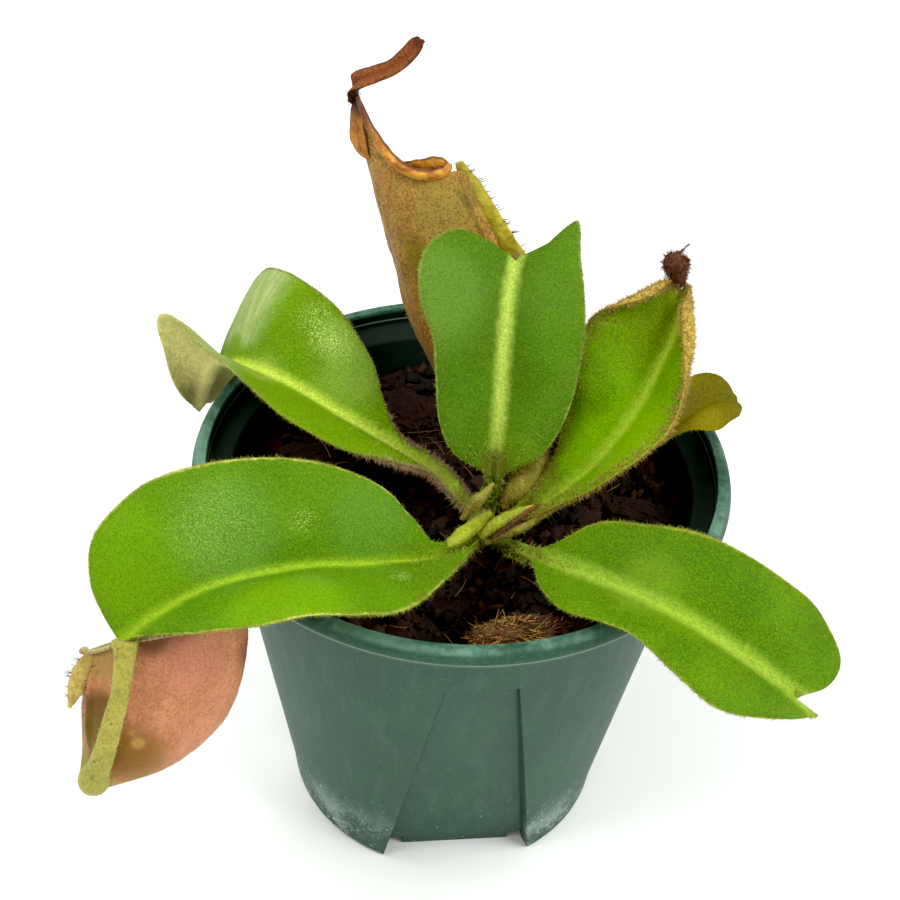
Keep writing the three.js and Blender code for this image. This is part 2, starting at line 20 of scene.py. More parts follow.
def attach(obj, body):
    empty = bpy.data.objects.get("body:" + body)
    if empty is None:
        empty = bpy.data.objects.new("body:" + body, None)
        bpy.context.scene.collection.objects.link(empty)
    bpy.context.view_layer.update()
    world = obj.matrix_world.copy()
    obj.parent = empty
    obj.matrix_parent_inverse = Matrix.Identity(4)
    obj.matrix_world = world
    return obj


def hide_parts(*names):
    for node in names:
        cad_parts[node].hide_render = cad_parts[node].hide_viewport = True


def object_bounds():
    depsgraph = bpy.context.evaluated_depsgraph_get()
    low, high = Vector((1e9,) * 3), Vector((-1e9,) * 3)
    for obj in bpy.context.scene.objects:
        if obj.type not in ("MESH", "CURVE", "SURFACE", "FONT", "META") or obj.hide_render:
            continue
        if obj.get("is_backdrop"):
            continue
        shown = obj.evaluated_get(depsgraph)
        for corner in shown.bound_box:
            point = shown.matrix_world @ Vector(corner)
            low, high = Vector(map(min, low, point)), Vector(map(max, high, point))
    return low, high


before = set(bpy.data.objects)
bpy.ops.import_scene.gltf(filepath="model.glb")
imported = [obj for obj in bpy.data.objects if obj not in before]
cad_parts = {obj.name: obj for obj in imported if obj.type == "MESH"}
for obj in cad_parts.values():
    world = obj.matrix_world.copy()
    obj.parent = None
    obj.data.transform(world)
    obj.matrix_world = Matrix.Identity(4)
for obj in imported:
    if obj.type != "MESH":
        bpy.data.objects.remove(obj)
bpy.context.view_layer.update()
MM = 0.001

# %% [markdown]
# ## The camera
#
# The picture is taken from above and in front, at about 40 degrees, with a slight roll to one side. A
# camera can be aimed with a Track To constraint, but that can't roll. Here its three axes are written down
# instead, and a matrix made of them turns it.

# %% Camera
camera = bpy.data.objects.new("camera", bpy.data.cameras.new("camera"))
camera.data.sensor_width = 36
camera.data.lens = 64
camera.data.clip_start = 0.01
camera_right = Vector((0.99807, 0.04043, 0.04711))
camera_up = Vector((-0.0621, 0.6500, 0.7574))
camera_back = Vector((0, -0.7589, 0.6512))
turned = Matrix((camera_right, camera_up, camera_back)).transposed().to_4x4()
camera_place = Vector((-2.5, -228.8, 282.7)) * MM
camera.matrix_world = Matrix.Translation(camera_place) @ turned
bpy.context.scene.collection.objects.link(camera)
bpy.context.scene.camera = camera
print("camera lens", camera.data.lens, "mm")

# %% [markdown]
# ## A small language for finishes
#
# A finish is a material made of nodes. Adding each node by hand takes many lines, so two small classes do
# it. A Shade is a value that travels through the nodes: adding or multiplying two of them adds a Math node.
# A Finish holds one material, and its node method adds a node of any other kind, with its settings first
# and its sockets after them.


# %% Shades
class Shade:
    """A value on its way through the nodes of a finish."""

    def __init__(self, finish, socket):
        self.finish = finish
        self.socket = socket

    def __add__(self, other):
        return self.finish.math("ADD", self, other)

    def __radd__(self, other):
        return self.finish.math("ADD", other, self)

    def __sub__(self, other):
        return self.finish.math("SUBTRACT", self, other)

    def __rsub__(self, other):
        return self.finish.math("SUBTRACT", other, self)

    def __mul__(self, other):
        return self.finish.math("MULTIPLY", self, other)

    def __rmul__(self, other):
        return self.finish.math("MULTIPLY", other, self)


# %% Colours
def tint(red, green, blue):
    """A colour as a screen shows it, 0 to 255, in the linear numbers that a material takes."""
    shares = np.array([red, green, blue]) / 255
    linear = np.where(shares <= 0.04045, shares / 12.92, ((shares + 0.055) / 1.055) ** 2.4)
    return tuple(float(share) for share in linear)


# %% Finishes
class Finish:
    """A material under construction."""

    def __init__(self, name, **fixed):
        self.material = bpy.data.materials.new(name)
        self.material.use_nodes = True
        self.nodes = self.material.node_tree.nodes
        self.links = self.material.node_tree.links
        self.nodes.clear()
        self.skin = self.nodes.new("ShaderNodeBsdfPrincipled")
        end = self.nodes.new("ShaderNodeOutputMaterial")
        self.links.new(self.skin.outputs[0], end.inputs[0])
        for socket, value in fixed.items():
            self.feed(self.skin.inputs[socket.replace("_", " ")], value)
        self.where = self.node("ShaderNodeTexCoord", {}, {}, "Object")

    def feed(self, socket, value):
        """Gives a socket a link, a colour or a number."""
        if isinstance(value, Shade):
            self.links.new(value.socket, socket)
        elif socket.type == "RGBA":
            socket.default_value = (*value, 1)
        else:
            socket.default_value = value

    def node(self, kind, settings, values, output=0):
        """Adds a node: its settings first, then what its sockets take."""
        made = self.nodes.new(kind)
        for key, value in settings.items():
            setattr(made, key, value)
        for key, value in values.items():
            self.feed(made.inputs[key], value)
        return Shade(self, made.outputs[output])

    def math(self, operation, *values):
        return self.node("ShaderNodeMath", {"operation": operation}, dict(enumerate(values)))

    def mark(self, name):
        """A number that the piece's own mesh holds at each of its points."""
        return self.node("ShaderNodeAttribute", {"attribute_name": name}, {}, "Fac")

    def axis(self, letter):
        """One of the piece's own coordinates, in metres."""
        return self.node("ShaderNodeSeparateXYZ", {}, {0: self.where}, letter)

    def grain(self, size, detail=2.0, stretch=(1, 1, 1), where=None):
        """Noise from 0 to 1 with blotches about so many millimetres wide."""
        spots = self.where if where is None else where
        if stretch != (1, 1, 1):
            spots = self.node("ShaderNodeMapping", {}, {"Vector": spots, "Scale": stretch})
        sockets = {"Vector": spots, "Scale": 1 / (size * MM), "Detail": detail}
        return self.node("ShaderNodeTexNoise", {}, sockets)

    def fade(self, value, low, high):
        """Rises smoothly from 0 at low to 1 at high, or falls where low is the larger."""
        first, last, start, end = (low, high, 0, 1) if low < high else (high, low, 1, 0)
        sockets = {"Value": value, "From Min": first, "From Max": last, "To Min": start, "To Max": end}
        return self.node("ShaderNodeMapRange", {"interpolation_type": "SMOOTHSTEP"}, sockets)

    def near(self, point, reach):
        """1 at a place on the piece, in millimetres, fading to 0 at the reach."""
        spot = tuple(value * MM for value in point)
        far = self.node("ShaderNodeVectorMath", {"operation": "DISTANCE"}, {0: self.where, 1: spot}, "Value")
        return self.fade(far, reach * MM, 0)

    def mix(self, share, plain, changed):
        """Blends two colours."""
        return self.node("ShaderNodeMix", {"data_type": "RGBA"}, {0: share, 6: plain, 7: changed}, 2)

    def touch(self, colour, share, value, low, high, shade):
        """Lays a share of a shade over a colour where a value fades from low to high."""
        return self.mix(share * self.fade(value, low, high), colour, shade)

    def veiled(self, colour, veils, ragged=0.0, full=0.85):
        """Lays round patches over a colour: each has a place, a reach, a share and a shade."""
        for point, reach, share, shade in veils:
            colour = self.touch(colour, share, self.near(point, reach) + ragged, 0.1, full, tint(*shade))
        return colour

    def soften(self, weight, radius):
        """Lets light travel under the surface, so many metres in red, green and blue."""
        self.feed(self.skin.inputs["Subsurface Weight"], weight)
        self.feed(self.skin.inputs["Subsurface Radius"], radius)

    def paint(self, colour, roughness, relief=None, depth=0.1):
        """Gives the surface its colour, its roughness, and a bump so many millimetres deep."""
        self.feed(self.skin.inputs["Base Color"], colour)
        self.feed(self.skin.inputs["Roughness"], roughness)
        if relief is not None:
            sockets = {"Strength": 1, "Distance": depth * MM, "Height": relief}
            self.feed(self.skin.inputs["Normal"], self.node("ShaderNodeBump", {}, sockets))
        return self.material


# %% [markdown]
# ## Curves and closed bodies
#
# Leaves, tendrils and pitchers are grown shapes, so no primitive fits them. Each starts as a closed
# cylinder with many rings, and a function then moves every vertex of it to a place on the grown shape. The
# body stays closed because only its vertices move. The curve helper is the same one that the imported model
# was made with, so a fine piece lies where its plain node lies.


# %% Curves
def glide(rows, u):
    """Points on the smooth curve through evenly spaced rows of numbers, for each u from 0 to 1."""
    rows = np.asarray(rows, float)
    last = len(rows) - 1
    at = np.clip(u, 0, 1) * last
    i = np.minimum(at.astype(int), last - 1)
    w = (at - i)[:, None]
    padded = np.vstack([2 * rows[0] - rows[1], rows, 2 * rows[-1] - rows[-2]])
    before, value, following, after = (padded[i + k] for k in range(4))
    leaving = (following - before) / 2
    arriving = (after - value) / 2
    rest = 3 * (following - value) - 2 * leaving - arriving
    turn = 2 * (value - following) + leaving + arriving
    return value + w * (leaving + w * (rest + w * turn))


def unit(vectors):
    """The same directions, each 1 long."""
    return vectors / np.maximum(np.linalg.norm(vectors, axis=-1, keepdims=True), 1e-12)


def heading(rows, u):
    """The curve's direction at each u."""
    step = 0.01
    return unit(glide(rows, np.minimum(u + step, 1)) - glide(rows, np.maximum(u - step, 0)))


def smooth(value, low, high):
    """Rises smoothly from 0 at low to 1 at high."""
    share = np.clip((value - low) / (high - low), 0, 1)
    return share * share * (3 - 2 * share)


def ripple(points, size, seed):
    """Noise between -1 and 1 at each point, with waves about size long."""
    shift = Vector((seed * 7.3, seed * 3.1, seed * 5.7))
    return np.array([noise.noise(Vector(point) / size + shift) for point in np.asarray(points)])


# %% Closed bodies
def rod(segments, steps, fans=True):
    """A closed cylinder of radius 1 from z = 0 to z = 1, with rings to bend it at.

    Its ends are fans of triangles, or one face each where there are many small rods."""
    bm = bmesh.new()
    upright = Matrix.Translation((0, 0, 0.5))
    sizes = {"segments": segments, "radius1": 1, "radius2": 1, "depth": 1}
    bmesh.ops.create_cone(bm, cap_ends=True, cap_tris=fans, matrix=upright, **sizes)
    sides = [edge for edge in bm.edges if abs(edge.verts[0].co.z - edge.verts[1].co.z) > 0.5]
    if steps > 1:
        bmesh.ops.subdivide_edges(bm, edges=sides, cuts=steps - 1)
    return bm


def spike(segments, steps):
    """A rod whose top runs to a point."""
    bm = rod(segments, steps, fans=False)
    for vert in bm.verts:
        if vert.co.z > 1 - 1e-4:
            vert.co = (0, 0, 1)
    bmesh.ops.remove_doubles(bm, verts=bm.verts, dist=1e-5)
    return bm


FULL_TURN = {"cent": (0, 0, 0), "axis": (0, 0, 1), "angle": 2 * math.pi, "use_merge": True}
HOOP_RADIUS = 3


def hoop(segments, steps):
    """A closed ring round the Z axis, 1 thick from its middle to its skin."""
    bm = bmesh.new()
    stand = Matrix.Translation((HOOP_RADIUS, 0, 0)) @ Matrix.Rotation(math.pi / 2, 4, "X")
    bmesh.ops.create_circle(bm, segments=segments, radius=1, matrix=stand)
    bmesh.ops.spin(bm, geom=bm.verts[:] + bm.edges[:], steps=steps, **FULL_TURN)
    return bm


def lathe(profile, steps):
    """A closed solid of revolution from [radius, height] points that start and end on the axis."""
    bm = bmesh.new()
    corners = [bm.verts.new((radius, 0, height)) for radius, height in profile]
    line = [bm.edges.new(pair) for pair in zip(corners, corners[1:])]
    bmesh.ops.spin(bm, geom=corners + line, steps=steps, **FULL_TURN)
    bmesh.ops.remove_doubles(bm, verts=bm.verts, dist=1e-5)
    bmesh.ops.recalc_face_normals(bm, faces=bm.faces)
    return bm


# %% Pieces
def places(mesh, kind="vertices", key="co"):
    """A mesh's vertex places, or another list of vectors that it holds, as an array."""
    holder = getattr(mesh, kind)
    flat = np.empty(len(holder) * 3)
    holder.foreach_get(key, flat)
    return flat.reshape(-1, 3)


def give_marks(mesh, marks):
    """Stores a number for each vertex under each name."""
    for name, values in marks.items():
        layer = mesh.attributes.new(name, "FLOAT", "POINT")
        layer.data.foreach_set("value", np.asarray(values, np.float32))


def written(name, bm):
    """A bmesh written to a mesh of its own."""
    mesh = bpy.data.meshes.new(name)
    bm.to_mesh(mesh)
    bm.free()
    return mesh


def linked(name, data):
    """A new object in the scene."""
    made = bpy.data.objects.new(name, data)
    bpy.context.scene.collection.objects.link(made)
    return made


def shaped(name, bm, place):
    """A mesh whose vertices go where place puts them, in millimetres, with the marks that place gives."""
    mesh = written(name, bm)
    there, marks = place(places(mesh))
    mesh.vertices.foreach_set("co", (there * MM).ravel())
    give_marks(mesh, marks)
    facing = bmesh.new()
    facing.from_mesh(mesh)
    bmesh.ops.recalc_face_normals(facing, faces=facing.faces)
    facing.to_mesh(mesh)
    facing.free()
    return mesh


def piece(name, mesh, finish, nodes=(), crease=None):
    """Puts a finished mesh into the scene, riding on the frame."""
    mesh.name = name
    mesh.shade_smooth()
    if crease is not None:
        mesh.set_sharp_from_angle(angle=math.radians(crease))
    mesh.materials.clear()
    mesh.materials.append(finish)
    made = linked(name, mesh)
    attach(made, "root")
    if nodes:
        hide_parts(*nodes)
    print(name, len(mesh.polygons), "faces")
    return made


# %% [markdown]
# ## The leaves
#
# A leaf of this plant is a folded blade on an arched midrib, with a channelled stalk and a margin that
# rolls over. It could be a grid with a Solidify modifier. Here it is a closed body instead, so its
# underside can have the thick midrib, and its margin can be rounded and rolled. The rows of a blade say
# where its two margins lie at places along the midrib: how far forward, how far across, and how steep the
# half blade is.

# %% Leaf tables
LEAVES = {
    "leaf_front_left": {
        "spine": [
            [4.6, -13.2, 77.8], [-2.6, -28, 86], [-13, -35.7, 91], [-26, -40.8, 94], [-38.9, -44.9, 93],
            [-48.2, -49.4, 90], [-54.3, -52.6, 86],
        ],
        "blade": [
            [0, 0, 2.6, 55, 0, 2.6, 68], [0.1, -0.5, 3.6, 40, -0.6, 3.2, 66],
            [0.2, -2, 6.2, 26, -1.2, 3.2, 60], [0.3, -4, 9.6, 16, -4.5, 7.4, 53],
            [0.4, -5.6, 14.4, 12, -6.8, 12.8, 50], [0.5, -6.6, 18, 16, -7.6, 16.4, 49],
            [0.6, -7.4, 17.5, 18, -7.5, 18.6, 48], [0.7, -5.3, 15, 12, -7.2, 19.5, 46],
            [0.8, -3.4, 10, 8, -4.6, 19.8, 42], [0.88, -1.8, 5.3, 4, -0.8, 16.9, 40],
            [0.94, -0.8, 2.3, 0, 1.3, 10.9, 36], [0.98, -0.6, 1.1, 0, 1.2, 5.3, 30],
            [1, -0.2, 0.8, 0, 0.6, 1.2, 25],
        ],
        "arch": 0.07,
        "roll": [[-20, -20], [-40, -30], [-50, -40], [-40, -40], [0, 0]],
    },
    "leaf_back_left": {
        "spine": [
            [3.9, -10, 77.6], [-3.9, -4.4, 83], [-11.9, -1.7, 87], [-22, 0.7, 92], [-34.4, 4.6, 97],
            [-44.3, 9.7, 96.5], [-49, 15.8, 90.8], [-53.8, 21.2, 77],
        ],
        "blade": [
            [0, 0, 2.4, 50, 0, 2.4, 55], [0.1, 0, 3.2, 34, 0, 2.9, 46], [0.2, -0.5, 4.3, 30, 0.4, 3, 42],
            [0.3, -2, 9, 28, 0.6, 3, 40], [0.4, -1, 13.6, 22, -1.3, 7.4, 36],
            [0.5, -2.2, 14.2, 20, -5, 12.6, 35], [0.58, -5, 13, 20, -3.8, 17.2, 35],
            [0.65, -5.4, 10.4, 26, -2.3, 19.4, 35], [0.71, -3, 9, 42, -0.6, 20.6, 36],
            [0.76, 0, 10, 56, 2.6, 20.2, 44], [0.81, 1, 11.5, 62, 3, 17.2, 48],
            [0.86, 1, 15.4, 67, 1.2, 12.6, 38], [0.9, -1, 10.9, 50, 0, 8.8, 16],
            [0.95, -1, 7.2, 25, 0, 9.2, -4], [1, 3, 1.2, -20, 2.4, 4, -10],
        ],
        "arch": 0.06,
        "roll": [[-10, -10], [-30, -30], [-30, -40], [-10, -20], [0, 0]],
    },
    "leaf_centre": {
        "spine": [
            [5.6, -9.8, 81], [5.9, -7, 88], [6.1, -3.2, 97], [6.1, 3.4, 108], [6.5, 9.2, 115],
            [7.3, 14.8, 120],
        ],
        "blade": [
            [0, 0, 1.8, 60, 0, 1.8, 60], [0.1, 0, 1.9, 55, 0, 1.9, 55], [0.2, -0.2, 2.9, 40, 0, 3.1, 40],
            [0.3, -0.8, 8.9, 28, 0.4, 9.3, 28], [0.4, 0, 12.1, 22, 1.1, 12.7, 22],
            [0.5, 1.1, 13.1, 20, 2.7, 14.6, 20], [0.6, 1.5, 14, 20, 5, 15.3, 20],
            [0.7, 1.6, 16.5, 20, 6.9, 14.4, 20], [0.8, 2.8, 17.6, 20, 8.8, 12.9, 20],
            [0.87, 4.5, 16.3, 20, 13.1, 11.2, 20], [0.93, 5.8, 12.3, 20, 7.4, 7.4, 20],
            [0.97, 4, 7, 20, 3.8, 3.9, 20], [1, 1.1, 2.5, 20, 1.4, 1, 20],
        ],
        "arch": 0.08,
        "roll": [[-10, -10], [-30, -30], [-40, -40], [-50, -40], [0, 0]],
    },
    "leaf_right": {
        "spine": [
            [7.2, -12.6, 79.4], [13, -12.5, 83.5], [22.1, -9.5, 91], [28.8, -5.4, 99], [33.7, 1.7, 106],
            [36.8, 7.6, 112], [37.8, 13, 117],
        ],
        "blade": [
            [0, 0, 1.8, 42, 0, 1.8, 40], [0.1, 0, 2.8, 48, 1.5, 4, 35], [0.2, 0, 4, 40, 2, 6.4, 28],
            [0.3, 1, 7.2, 32, 1.6, 8.6, 25], [0.4, 0, 11, 30, 0.8, 11, 28],
            [0.5, -0.4, 13.7, 30, -1.4, 11.8, 30], [0.6, -0.3, 15.5, 30, -4.5, 11.1, 32],
            [0.7, 1.2, 15.2, 30, -3.8, 9.8, 34], [0.8, 1.6, 11.6, 30, -2, 6.7, 36],
            [0.88, 2.4, 8, 30, -0.8, 4, 38], [0.94, 2.4, 4.7, 30, 0.4, 2.4, 38],
            [1, 1.2, 2, 30, 1, 0.8, 38],
        ],
        "arch": 0.05,
        "roll": [[-10, 0], [-20, 0], [-20, -20], [30, 60], [190, 200], [60, 60]],
    },
    "leaf_front_right": {
        "spine": [
            [7, -13, 75.8], [15, -25.5, 84], [26, -34.1, 88], [38.5, -41.5, 88], [50.8, -46.3, 83],
            [59, -47.9, 77],
        ],
        "blade": [
            [0, 0, 1.8, 45, 0, 1.8, 45], [0.1, 0, 2, 52, 0, 2, 40], [0.2, -1.5, 2.4, 48, 1, 3.8, 22],
            [0.3, -4, 5.5, 42, -1.6, 8.3, 10], [0.4, -6, 9.7, 40, -2.5, 12, 8],
            [0.5, -6, 11.8, 40, -4.5, 11.6, 10], [0.6, -6.4, 13.8, 40, -6.2, 11, 10],
            [0.7, -6.4, 14.8, 38, -6, 14, 8], [0.8, -3.8, 15.2, 36, -5.9, 15.3, 5],
            [0.87, 1.5, 15, 34, -3.4, 11.7, 0], [0.93, 8.2, 11.7, 30, 1.7, 6.6, 0],
            [0.97, 6.9, 6.1, 28, 7.6, 1.6, 0], [1, 0.3, 0.5, 26, 7.4, 0.6, 0],
        ],
        "arch": 0.07,
        "roll": [[-10, -10], [-40, -30], [-50, -40], [-40, -40], [0, 0]],
    },
    "leaf_small_right": {
        "spine": [
            [6.6, -10.2, 76.4], [15.1, -5.8, 79], [24.2, -1.7, 83], [33.4, 2.6, 87], [41.4, 8.7, 90],
            [47.4, 13.6, 91], [53.3, 17.6, 88.5],
        ],
        "blade": [
            [0, 0, 1.6, 50, 0, 1.6, 40], [0.3, 0, 1.8, 45, 0, 1.8, 30], [0.5, 0, 2.2, 40, 0, 1.4, 25],
            [0.65, 0, 4.8, 40, 0, 2.8, -20], [0.75, 0.6, 6.4, 40, 0, 5.4, -38],
            [0.83, 0.4, 6.4, 40, 0, 5.8, -36], [0.9, 0.8, 5.4, 40, 0.2, 4.8, -30],
            [0.96, 0.9, 3.9, 32, 0.4, 3.8, -26], [1, 0.8, 1.7, 10, 0.1, 2.2, -26],
        ],
        "arch": 0.05,
        "roll": [[0, 0], [-20, -20], [-40, -40], [-20, -20]],
    },
}
print(len(LEAVES), "leaves")

# %% [markdown]
# The surface of a blade is a function of u, from the stem to the tip, and v, from the left margin to the
# right. Near a margin the surface follows a small circle, which rolls it up or under without changing how
# wide the leaf looks. Its two faces are set off from that surface along its normal.

# %% Blade surface
CREASE = 0.12  # how far the fold is rounded, as a share of the half blade's width
ROLL_RADIUS = 1.0  # of a rolled margin
RIDGE_REACH, GROOVE_REACH, GROOVE_DEPTH = 1.3, 0.7, 0.22  # of the midrib, below and above the blade
SLOPE_STEP = 0.004  # how far apart the points are that give the surface its normal


def blade_point(leaf, u, v):
    """Points of the blade's middle surface, in millimetres, and how far each is from the rib and the edge."""
    row = glide(leaf["blade"], u)
    forward = heading(leaf["spine"], row[:, 0])
    level = unit(np.stack([forward[:, 1], -forward[:, 0], 0 * u], axis=1))
    lift = np.cross(level, forward)
    left = (v < 0)[:, None]
    ahead, across, rise = np.where(left, row[:, 1:4], row[:, 4:7]).T
    rolls = np.radians(glide(leaf.get("roll", [[0, 0], [0, 0]]), u))
    roll = np.where(v < 0, rolls[:, 0], rolls[:, 1])
    radius = np.minimum(ROLL_RADIUS, across / 3)
    length = across - radius + radius * np.maximum(np.abs(roll), 1)
    out = np.abs(v) * length
    bend = np.clip((out - across + radius) / radius, 0, None) * np.sign(roll)
    size = np.minimum(np.abs(bend), np.abs(roll))
    q = np.where(out > across - radius, across - radius + radius * np.sin(size), out) / across
    fold = np.radians(rise)
    rounded = math.hypot(1, CREASE) - CREASE
    crease = (np.hypot(q, CREASE) - CREASE) / rounded
    hump = 4 * leaf["arch"] * across * q * (1 - q) + radius * (1 - np.cos(size)) * np.sign(roll)
    side = np.where(v < 0, -1, 1)
    sideways = side * (across * np.cos(fold) * q - hump * np.sin(fold))
    upwards = across * np.sin(fold) * crease + hump * np.cos(fold)
    middle = glide(leaf["spine"], row[:, 0])
    spot = middle + forward * (ahead * q)[:, None] + level * sideways[:, None] + lift * upwards[:, None]
    return spot, out, length - out


def blade_place(leaf, rib=1.5, thickness=0.55, swell=0.25, seed=1):
    """The function that moves a rod's vertices onto a leaf."""

    def place(rod_places):
        x, y, u = rod_places.T
        angle = np.abs(np.arctan2(y, x))
        reach = np.hypot(x, y)
        round_share = 0.55  # the rest spaces the vertices evenly, so the margins get enough of them
        even = 1 - 2 * angle / np.pi
        v = (round_share * np.cos(angle) + (1 - round_share) * even) * np.minimum(reach, 1)
        spot, from_rib, from_edge = blade_point(leaf, u, v)
        before, after = np.maximum(u - SLOPE_STEP, 0), np.minimum(u + SLOPE_STEP, 1)
        along = blade_point(leaf, after, v)[0] - blade_point(leaf, before, v)[0]
        left, right = np.maximum(v - SLOPE_STEP, -1), np.minimum(v + SLOPE_STEP, 1)
        over = blade_point(leaf, u, right)[0] - blade_point(leaf, u, left)[0]
        normal = unit(np.cross(over, along))
        waves = swell * ripple(spot, 9, seed) + 0.3 * swell * ripple(spot, 3.5, seed + 5)
        end = np.sqrt(np.clip(1 - np.abs(v) ** 16, 0, 1))
        ridge = (rib - thickness) * np.exp(-((from_rib / RIDGE_REACH) ** 2))
        groove = GROOVE_DEPTH * np.exp(-((from_rib / GROOVE_REACH) ** 2))
        top = y >= 0
        set_off = np.where(top, thickness / 2 - groove, -thickness / 2 - ridge) * end * (reach > 0.5)
        there = spot + normal * (set_off + waves - thickness / 2)[:, None]
        return there, {"along": u, "from_rib": from_rib, "from_edge": from_edge, "top": top.astype(float)}

    return place


# %% [markdown]
# A leaf's finish has the colours of the real one: a soft range of greens, a granular band along the midrib,
# a light line along the margin, patches where the light green is stronger, and a felted underside. Other
# patches are painted light and shade: pale bluish ones are painted sheen, some brighter and darker ones
# are painted light and shade on the half blades, the ones on the underside are painted shade, and the
# silvery fold and the glints are painted highlights. The velvet comes from fine bumps, a little sheen and,
# later, real hairs. An image could be painted for this, but noise needs no picture and has no seams.


# %% Leaf finish
def lighter(colour, factor, added=0.0):
    """A colour with each of its numbers changed alike."""
    return tuple(min(factor * share + added, 1) for share in colour)


def leaf_finish(
    name,
    shades,
    patches=(),
    below=(),
    over=(),
    glints=(),
    crest_highlight=0.0,
    band_share=0.6,
    wide=1.4,
    hem=0.5,
    felt=0.0,
    grit=0.4,
    petiole=(98, 96, 30),
):
    """Velvet in five shades: green, deep green, rib, margin and underside. The patches lie on the blade, some
    as the leaf's own colours and some as painted light and shade; below lie on its underside as painted
    shade, and over lie on all of it. glints are painted highlights, and crest is the share of painted
    silvery sheen where the blade folds over. wide and hem are the rib's and the margin's."""
    green, deep, rib, margin, under = (tint(*shade) for shade in shades)
    leaf = Finish(name, Sheen_Weight=0.03, Sheen_Roughness=0.4, Sheen_Tint=tint(180, 220, 60))
    leaf.feed(leaf.skin.inputs["Specular IOR Level"], 0.08)
    leaf.soften(0.12, (0.0012, 0.002, 0.0005))
    from_rib, from_edge, along = (leaf.mark(mark) for mark in ("from_rib", "from_edge", "along"))
    fine, speck, down = leaf.grain(0.38, 3), leaf.grain(1.0, 3), leaf.grain(0.2, 1)
    colour = leaf.mix(leaf.fade(leaf.grain(13, 2) + 0.25 * speck, 0.35, 0.9), green, deep)
    # Patches of the leaf's own colours, and patches of painted light and shade.
    colour = leaf.veiled(colour, patches, 0.25 * speck)
    colour = leaf.touch(colour, grit, fine, 0.42, 0.72, lighter(green, 1.6, 0.004))
    colour = leaf.touch(colour, grit, fine, 0.56, 0.28, lighter(deep, 0.72))
    colour = leaf.touch(colour, 0.35, down, 0.5, 0.75, lighter(green, 2.0, 0.006))
    colour = leaf.touch(colour, 0.35, down, 0.5, 0.25, lighter(deep, 0.5))
    for point, reach, share in glints:
        veil = share * leaf.fade(leaf.near(point, reach) + 0.7 * speck, 0.4, 1.3)
        colour = leaf.touch(colour, veil, down, 0.54, 0.68, tint(206, 222, 130))
    # Painted sheen: silvery streaks where the blade folds over, for the light that its hairs catch.
    if crest_highlight:
        flow = leaf.node("ShaderNodeCombineXYZ", {}, {0: 0.15 * MM * from_rib, 1: 0.05 * along})
        streak = leaf.fade(leaf.grain(0.9, 3, where=flow), 0.36, 0.66)
        folded = leaf.fade(along, 0.5, 0.58) * leaf.fade(along, 0.77, 0.66) * leaf.fade(from_rib, 2.0, 6.0)
        colour = leaf.mix(crest_highlight * folded * (0.6 + 0.4 * streak), colour, tint(184, 190, 138))
    band = leaf.fade(from_rib + 1.6 * speck + 1.2 * fine, wide + 2.6, wide)
    colour = leaf.mix(band_share * band * (0.7 + 0.6 * leaf.fade(fine, 0.36, 0.62)), colour, rib)
    felted = leaf.touch(under, 0.6, speck, 0.4, 0.65, lighter(under, 0.72))
    # Painted shade on the underside.
    felted = leaf.veiled(felted, below, 0.25 * speck)
    felted = leaf.mix(0.5 * band, felted, lighter(under, 1.1))
    felted = leaf.touch(felted, 1, along, 0.36, 0.22, tint(*petiole))
    colour = leaf.mix(leaf.mark("top"), felted, colour)
    worn = 0.35 + 0.5 * leaf.fade(leaf.grain(7, 2), 0.32, 0.6)
    line = worn * leaf.fade(along, 0.12, 0.3)
    colour = leaf.touch(colour, line, from_edge + 0.9 * speck, hem + 0.7, hem, margin)
    colour = leaf.veiled(colour, over, 0.2 * speck, 0.8)
    roughness = 0.5 + 0.3 * leaf.fade(fine, 0.3, 0.7)
    relief = fine + 0.6 * speck + 0.8 * leaf.grain(2.6, 2)
    return leaf.paint(colour, roughness, relief, 0.16 + felt)
